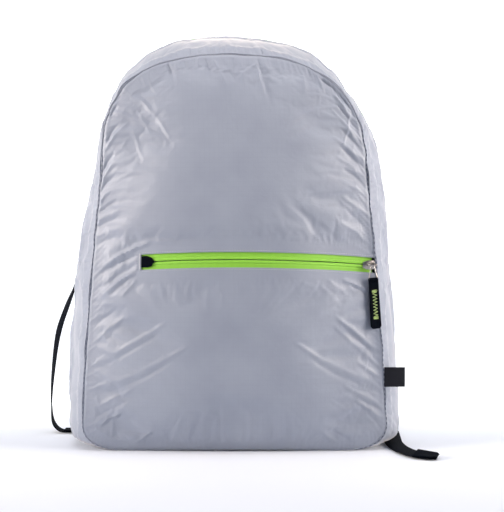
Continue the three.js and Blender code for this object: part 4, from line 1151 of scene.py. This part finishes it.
thread_pieces = [
    seam_roll("front_seam_roll", 0.03, 1.97, True),
    seam_roll("back_seam_roll", 0.03, 1.97, False),
]
for name, start, end, front, pitch, length, thick, material in [
    ("front_seam_thread_right", 0.2, 0.74, True, 5.2, 3.3, 0.75, dark_thread),
    ("front_seam_thread_left", 1.3, 1.8, True, 5.2, 2.8, 0.6, shade_thread),
    ("front_seam_thread_arch", 0.745, 1.295, True, 4.4, 2.2, 0.45, cloth_thread),
    ("back_seam_thread", 0.17, 1.83, False, 4.6, 2.8, 0.45, shade_thread),
]:
    path, out = seam_path(start, end, front)
    facing = stack(0 * path[:, 0], np.sign(path[:, 1]), 0 * path[:, 0])
    thread_pieces.append(row_of(path, unit(out * 0.25 + facing), pitch, length, thick, name, material, 0.95))
for name, loop, offset in [
    ("cross_seam_thread_right", SIDE_TOP, 1.6), ("cross_seam_thread_right_low", SIDE_TOP, -8.0),
    ("cross_seam_thread_left", 2 - SIDE_TOP, 1.2),
]:
    path, out = cross_path(loop, offset)
    path = path + out * 0.1
    facing = np.sign(path[:, :1]) * np.sign(out[:, :1])
    thread_pieces.append(row_of(path, out * facing, 3.8, 2.4, 0.5, name, shade_thread, 0.1))


def window_row(xs, rise, pitch, length, thick, name, material, lift):
    z = zip_line(xs) + rise
    out = panel_normal(front_point, xs, z, 1)
    return row_of(front_point(xs, z), out, pitch, length, thick, name, material, lift)


# Topstitching round the pocket zip's window.
right_end = float(half_width(ZIP_HEIGHT)) - 2.0
for name, side in [("window_thread_upper", 1), ("window_thread_lower", -1)]:
    xs = np.linspace(WINDOW_LEFT + 1, right_end, 500)
    rise = side * (WINDOW_HEIGHT / 2 + 1.7)
    thread_pieces.append(window_row(xs, rise, 2.7, 1.8, 0.5, name, grey_thread, 0.12))
for name, inset, material, pitch, thick in [
    ("window_thread_end", 1.3, white_thread, 1.5, 0.8),
    ("window_thread_end_outer", 4.2, shade_thread, 2.6, 0.5),
]:
    rise = np.linspace(-WINDOW_HEIGHT / 2 - 1, WINDOW_HEIGHT / 2 + 1, 80)
    xs = np.full_like(rise, WINDOW_LEFT - inset)
    thread_pieces.append(window_row(xs, rise, pitch, 1.5, thick, name, material, 0.15))

# The straps and the webbing.


def curve_points(chosen, steps):
    """Points at even steps along a centripetal curve through the chosen ones."""
    chosen = np.asarray(chosen, float)
    ends = np.concatenate([[2 * chosen[0] - chosen[1]], chosen, [2 * chosen[-1] - chosen[-2]]])
    made = []
    for t in np.linspace(0, 1, steps + 1):
        place = t * (len(chosen) - 1)
        i = min(len(chosen) - 2, int(place))
        w = place - i
        p0, p1, p2, p3 = ends[i:i + 4]
        d0, d1, d2 = (max(np.linalg.norm(b - a), 1e-4) ** 0.5 for a, b in ((p0, p1), (p1, p2), (p2, p3)))
        t1 = ((p1 - p0) / d0 - (p2 - p0) / (d0 + d1) + (p2 - p1) / d1) * d1
        t2 = ((p2 - p1) / d1 - (p3 - p1) / (d1 + d2) + (p3 - p2) / d2) * d1
        square, cube = 3 * (p2 - p1) - 2 * t1 - t2, 2 * (p1 - p2) + t1 + t2
        made.append(p1 + t1 * w + square * w**2 + cube * w**3)
    return np.array(made)


def ribbon(name, node_name, chosen, steps, thickness, columns, cloth, body="bag", hem=0.0, wave=0.0):
    """A woven ribbon through stations (centre, direction of its width, width): closed, with soft edges."""
    centres = curve_points([c for c, _, _ in chosen], steps)
    place = np.linspace(0, len(chosen) - 1, steps + 1)
    widths = np.interp(place, range(len(chosen)), [w for _, _, w in chosen])
    across = unit(np.stack([np.interp(place, range(len(chosen)), [a[k] for _, a, _ in chosen])
                            for k in range(3)], -1))
    along = unit(np.gradient(centres, axis=0))
    across = unit(across - (across * along).sum(-1, keepdims=True) * along)
    face = np.cross(along, across)
    way = np.concatenate([[0], np.cumsum(np.linalg.norm(np.diff(centres, axis=0), axis=1))])
    shares = np.sin(np.linspace(-math.pi / 2, math.pi / 2, columns + 1))
    front = list(shares)
    back = list(shares[::-1][1:-1])
    ring_share = np.array(front + back)
    ring_side = np.array([1.0] * len(front) + [-1.0] * len(back))
    ring_side[[0, columns]] = 0
    height = thickness / 2 * (1 - np.abs(ring_share) ** 10) ** 0.5
    height = height * (1 + hem * smooth((np.abs(ring_share) - 0.72) / 0.08) * (1 - np.abs(ring_share) ** 24))
    ripple = wave * np.sin(way / 17.0)[:, None] * ring_share[None] ** 2
    ripple = ripple * np.where(ring_share > 0, 1, -0.7)[None]
    offset = ring_side * height
    points = (centres[:, None] + across[:, None] * (ring_share[None] * widths[:, None] / 2)[..., None]
              + face[:, None] * (offset[None] + ripple)[..., None])
    ring = len(ring_share)
    faces = []
    for i in range(len(centres) - 1):
        for k in range(ring):
            n = (k + 1) % ring
            faces.append((i * ring + k, i * ring + n, (i + 1) * ring + n, (i + 1) * ring + k))
    last = (len(centres) - 1) * ring
    for k in range(columns):
        a, b = k, k + 1
        c, d = (ring - k - 1) % ring, (ring - k) % ring
        quad = [a, b, c, d] if k else [a, b, c]
        if k == columns - 1:
            quad = [a, b, d]
        faces.append(tuple(quad[::-1]))
        faces.append(tuple(last + q for q in quad))
    uv = np.stack(np.broadcast_arrays(ring_share[None] * widths[:, None] / 2, way[:, None]), -1)
    slot = "black_webbing" if cloth is webbing else "grey_nylon"
    obj = piece(name, points.reshape(-1, 3), faces, cloth, slot, [node_name], uv.reshape(-1, 2), body)
    return face_outwards(obj)


def lock_frame(side):
    x = LOCK_OFFSET[side]
    top = STRAP_TOP_OFFSET * np.sign(x)
    out = panel_normal(back_point, x, LOCK_HEIGHT, -1)
    down = np.array([x - top, 0, LOCK_HEIGHT - STRAP_TOP_HEIGHT], float)
    down = unit(down - down.dot(out) * out)
    centre = back_point(x, LOCK_HEIGHT) + out * LOCK_STAND_OFF
    return centre, unit(np.cross(down, out)), down, out


def round_bar(frame_of_lock, bar, towards, thickness, width, lead):
    """The way round one of a lock's bars, from its outer face through the slot to its inner face."""
    centre, across, down, out = frame_of_lock
    off = 0.45 + thickness / 2
    face = LOCK_THICKNESS / 2
    turn = [(-LOCK_BAR / 2 - off * math.cos(a), face + off * math.sin(a))
            for a in (math.pi / 2, math.pi / 4, 0)]
    outside = [(lead, face + off + 0.2), (LOCK_BAR / 2, face + off), *turn]
    inside = [(ahead, -lift) for ahead, lift in outside][::-1]
    return [(centre + down * (bar + towards * ahead) + out * lift, across, width)
            for ahead, lift in [*outside, *inside]]


def shoulder_strap(side):
    frame_of_lock = lock_frame(side)
    top = STRAP_TOP_OFFSET * (-1 if side == "left" else 1)
    stations = []
    for share, lift, wide in STRAP_ROWS:
        x, z = lerp(top, LOCK_OFFSET[side], share), lerp(STRAP_TOP_HEIGHT, LOCK_HEIGHT, share)
        width = STRAP_TOP_WIDTH * wide
        across = unit(back_point(x + width / 2, z) - back_point(x - width / 2, z))
        centre = back_point(x, z) + panel_normal(back_point, x, z, -1) * (STRAP_THICKNESS / 2 + lift)
        stations.append((centre, across, width))
    stations += round_bar(frame_of_lock, -(LOCK_BAR + LOCK_SLOT), -1, STRAP_THICKNESS, WEBBING_WIDTH, 12)[:-1]
    return ribbon(f"strap_{side}", f"shoulder_strap_{side}", stations, 110, STRAP_THICKNESS, 30, nylon,
                  hem=0.35, wave=0.5)


# Each webbing's free tail, from the lock down to the floor: its places, and which way its width points.
WEBBING_TAILS = {
    "right": [
        (120, 101, 165, 1, 0.2, 0), (138, 106, 120, 1, 0.1, 0), (160, 108, 70, 1, 0, 0),
        (173, 104, 28, 1, 0, 0),
        (177, 93, 8, 1, 0, 0), (178, 74, 2, 1, 0, 0), (177, 40, 1.6, 1, 0, 0), (175, 0, 1.6, 1, 0, 0),
        (174, -28, 1.6, 1, 0.05, 0), (177, -62, 1.6, 0.97, 0.2, 0.05), (185, -93, 2.2, 0.9, 0.42, 0.08),
        (196, -113, 3.0, 0.6, 0.78, 0.15), (209, -119, 2.3, 0.25, 0.95, 0.1),
    ],
    "left": [
        (-152, 94, 200, 0.8, -0.5, 0.3), (-172, 85, 192, 0.35, -0.9, 0.2), (-182.5, 78, 179, 0.12, -1, 0.1),
        (-188, 73, 163, 0.22, -1, 0), (-194, 69, 147, 0.35, -0.95, 0), (-204, 63, 116, 0.4, -0.9, 0),
        (-210, 59, 72, 0.3, -0.95, 0), (-212, 57, 32, 0.15, -1, 0), (-209, 55, 10, 0, -1, 0),
        (-201, 53, 2.4, 0, -1, 0), (-190, 52, 1.6, 0, -1, 0), (-180, 52, 1.6, 0, -1, 0),
    ],
}
WEBBING_FEET = {
    "right": [(122, 92, 150), (136, 86, 80), (143, 77, 30), (145, 71, 13)],
    "left": [(-137, 92, 150), (-145, 86, 80), (-146, 77, 30), (-145, 71, 13)],
}


def lower_webbing(side):
    frame_of_lock = lock_frame(side)
    tail = [(np.array(row[:3], float), unit(np.array(row[3:], float)), WEBBING_WIDTH)
            for row in WEBBING_TAILS[side][::-1]]
    # The end is folded back on itself and sewn down.
    up = np.array([0, 0, WEBBING_THICKNESS + 0.15])
    (end, across, _), (second, turned, _) = tail[:2]
    tail[0] = (end, across, WEBBING_WIDTH * 0.86)
    hem = []
    for share, wide in ((1.6, 1), (1.2, 1), (0.8, 1), (0.4, 1), (0.03, 0.86)):
        hem.append((lerp(end, second, share) + up, unit(lerp(across, turned, share)), WEBBING_WIDTH * wide))
    tail = [*hem, (lerp(end, second, -0.05) + up / 2, across, WEBBING_WIDTH * 0.84), *tail]
    foot = [(np.array(p, float), frame_of_lock[1], WEBBING_WIDTH) for p in WEBBING_FEET[side]]
    turn = round_bar(frame_of_lock, LOCK_BAR + LOCK_SLOT, 1, WEBBING_THICKNESS, WEBBING_WIDTH, 9)
    stations = [*tail, *turn, *foot]
    return ribbon(f"webbing_{side}", f"lower_webbing_{side}", stations, 340, WEBBING_THICKNESS, 18, webbing)


def haul_loop():
    high = SEAM_HEIGHT - 9
    stations = []
    for t in np.linspace(-1, 1, 13):
        x = HAUL_HALF_SPAN * np.sign(t) * abs(t) ** 0.6
        z = high - HAUL_DROP * (1 - t**4)
        turned = float(smooth(abs(t) * 1.8))
        centre = back_point(x, z) + panel_normal(back_point, x, z, -1) * (
            WEBBING_THICKNESS / 2 + 0.4 + 8.6 * (1 - t**2))
        stations.append((centre, unit(np.array([-np.sign(t) * turned, 0, turned - 1])), WEBBING_WIDTH * 0.6))
    return ribbon("haul_loop_webbing", "haul_loop", stations, 90, WEBBING_THICKNESS, 12, webbing)


strap_pieces = [
    shoulder_strap("left"), shoulder_strap("right"), lower_webbing("left"), lower_webbing("right"),
    haul_loop(),
]

# The pocket zip's end tab, bail and pull.


def end_tab():
    """The black tab folded over the zip's left end, cut to a blunt point."""
    left = WINDOW_LEFT + SEAM_GAP
    at = [0, 0.05, 0.45, 0.8, 1]
    top = [5.0, 6.0, 6.4, 4.3, 0.8]
    bottom = [4.6, 5.6, 5.8, 4.9, 0.8]
    xs, shares = np.meshgrid(np.linspace(0, 1, 25), np.linspace(-1, 1, 17))
    half = np.where(shares > 0, np.interp(xs, at, top), np.interp(xs, at, bottom))
    x = left + xs * END_TAB_LENGTH
    z = zip_line(x) + shares * half
    dome = 0.9 * np.clip(1 - shares**6, 0, 1) ** 0.5 * np.clip(1 - (2 * xs - 1) ** 8, 0, 1) ** 0.5
    lift = dome + 0.45 - 0.35 * np.exp(-((np.abs(shares) - 0.72) / 0.1) ** 2)
    points = front_point(x, z) + panel_normal(front_point, x, z, 1) * (lift - 0.5)[..., None]
    obj = piece("end_tab_cloth", points.reshape(-1, 3), grid_faces(17, 25), webbing, "black_webbing",
                ["pocket_zip_end_tab"], np.stack([x, z], -1).reshape(-1, 2))
    return wall(obj, END_TAB)


def slider_frame():
    """Where the slider sits on the tape: its centre, and along, in and up."""
    x = float(half_width(ZIP_HEIGHT)) - SLIDER_FROM_SEAM
    at = lambda value: tape_point(np.array(value, float), np.array(0.0), np.array(0.0))
    along = at(x + 4) - at(x - 4)
    along[2] = 0
    along = unit(along)
    up = np.array([0.0, 0.0, 1.0])
    return at(x), along, np.cross(up, along), up


def pull_place(points):
    """From the pull's own frame, which hangs from the crown's bar, to the row frame."""
    centre, along, inward, up = slider_frame()
    a = -math.radians(PULL_LEAN)
    x = points[..., 0] * math.cos(a) + points[..., 2] * math.sin(a)
    z = -points[..., 0] * math.sin(a) + points[..., 2] * math.cos(a)
    x = x + CROWN_SHIFT
    y = points[..., 1] - SLIDER_GAP - SLIDER_PLATE - CROWN_WINDOW - CROWN_BAR / 2
    return centre + x[..., None] * along + y[..., None] * inward + z[..., None] * up


def pull():
    """Webbing folded round the bail's foot, its two layers sewn flat, its end cut with round corners."""
    eye_radius = BAIL_WIRE / 2 + BAIL_CLEARANCE
    layer = 1.2
    middle = layer / 2 + 0.06
    radius = eye_radius + layer / 2
    rows = []
    for down in np.linspace(1, 0.1, 22):
        rows.append((-middle, -BAIL_DROP - PULL_LENGTH * down, down))
    for angle in np.linspace(-60, 240, 15):
        a = math.radians(angle)
        rows.append((-radius * math.cos(a), -BAIL_DROP + radius * math.sin(a), 0.03))
    for down in np.linspace(0.1, 1, 22):
        rows.append((middle, -BAIL_DROP - PULL_LENGTH * down, down))
    stations = []
    width_way = pull_place(np.array([[1.0, 0, 0], [0, 0, 0]]))
    across = unit(width_way[0] - width_way[1])
    for y, z, down in rows:
        corner_cut = 2.2 * (1 - min(1, (1 - down) * PULL_LENGTH / 2.2)) ** 2
        width = lerp(PULL_TOP_WIDTH, PULL_BOTTOM_WIDTH, down) - 2 * corner_cut
        stations.append((pull_place(np.array([0.0, y, z])), across, width))
    return ribbon("pull_webbing", "pocket_zip_pull", stations, 150, layer, 14, webbing, "zip_pull", hem=0.12)


def pull_thread():
    """A lime zigzag down the middle of the pull with a bar tack at each end."""
    face = -1.2 - 0.16
    centres, along, lengths = [], [], []

    def lay(start, end):
        a, b = (pull_place(np.array([p[0], face, -BAIL_DROP - p[1]])) for p in (start, end))
        centres.append((a + b) / 2)
        along.append(b - a)
        lengths.append(np.linalg.norm(b - a) + 0.3)

    turns = 15
    for k in range(turns):
        side = 1 if k % 2 else -1
        lay((-side * 2.6, 13 + k * 1.75), (side * 2.6, 13 + (k + 1) * 1.75))
    for base in (11.2, 13 + turns * 1.75 + 0.4):
        for k in range(5):
            lay((-2.9, base + k * 0.5), (2.9, base + k * 0.5 + (0.3 if k % 2 else -0.3)))
    centres = np.array(centres)
    _, _, inward, _ = slider_frame()
    out = np.broadcast_to(-inward, centres.shape)
    return stitches("pull_thread", centres, np.array(along), out, np.array(lengths), 0.62, lime_thread,
                    "green_zip_tape", "zip_pull")


def bail():
    """A closed loop of nickel wire from the slider's crown, spreading towards the pull."""
    top, foot = BAIL_TOP_WIDTH / 2, BAIL_FOOT_WIDTH / 2
    half = [(top * 0.55, 0.0), (top, -0.9), (lerp(top, foot, 0.5), -BAIL_DROP / 2), (foot, 1.2 - BAIL_DROP),
            (foot * 0.8, -BAIL_DROP)]
    corners = [(-top * 0.55, 0.0), *half, *((-x, z) for x, z in half[::-1])]
    path = curve_points([(x, 0, z) for x, z in corners], 120)[:-1]
    along = unit(np.roll(path, -1, 0) - np.roll(path, 1, 0))
    out = np.broadcast_to(np.array([0, 1.0, 0]), path.shape)
    points, faces = tube(path, along, out, BAIL_WIRE / 2, 12, True)
    obj = piece("bail_wire", pull_place(points), faces, nickel, "nickel", ["pocket_zip_bail"],
                body="zip_pull")
    return face_outwards(obj)


small_pieces = [end_tab(), bail(), pull(), pull_thread()]

# The hard pieces, the base and the label keep the solids' shapes.


def bevelled_copy(name, node_name, material, slot, width, segments=2, body="bag"):
    """A copy of a solid with its doubles merged and its edges rounded."""
    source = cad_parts[node_name]
    mesh = source.data.copy()
    mesh.name = name
    mesh.materials.clear()
    mesh.materials.append(material)
    obj = bpy.data.objects.new(name, mesh)
    bpy.context.scene.collection.objects.link(obj)
    work = bmesh.new()
    work.from_mesh(mesh)
    bmesh.ops.remove_doubles(work, verts=work.verts, dist=0.00002)
    bmesh.ops.dissolve_limit(work, angle_limit=math.radians(1.0), verts=work.verts, edges=work.edges)
    work.to_mesh(mesh)
    work.free()
    apply(obj, "BEVEL", width=width * MM, segments=segments, limit_method="ANGLE",
          angle_limit=math.radians(35))
    smooth_by_angle(obj, 40)
    obj["body"], obj["slot"], obj["nodes"] = body, slot, [node_name]
    return obj


hard_pieces = [
    bevelled_copy("slider_cast", "pocket_zip_slider", nickel, "nickel", 0.28),
    bevelled_copy("ladder_lock_moulded_left", "ladder_lock_left", acetal, "black_plastic", 0.6, 3),
    bevelled_copy("ladder_lock_moulded_right", "ladder_lock_right", acetal, "black_plastic", 0.6, 3),
    bevelled_copy("main_slider_left", "main_zip_slider_left", acetal, "black_plastic", 0.3),
    bevelled_copy("main_slider_right", "main_zip_slider_right", acetal, "black_plastic", 0.3),
    bevelled_copy("base_cloth", "base_panel", nylon, "grey_nylon", 0.3),
    bevelled_copy("side_label_cloth", "side_label", label_cloth, "black_webbing", 0.35),
]

# Each piece goes to its body, the solids that it stands for are hidden, and its working keys are dropped.

for obj in [*cloth_pieces, *tapes, *thread_pieces, *strap_pieces, *small_pieces, *hard_pieces]:
    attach(obj, obj["body"])
    if obj["nodes"]:
        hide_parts(*obj["nodes"])
    if "cut" in obj:
        width, length, area = obj["cut"]
        del obj["cut"]
    for key in ("body", "slot", "nodes"):
        del obj[key]
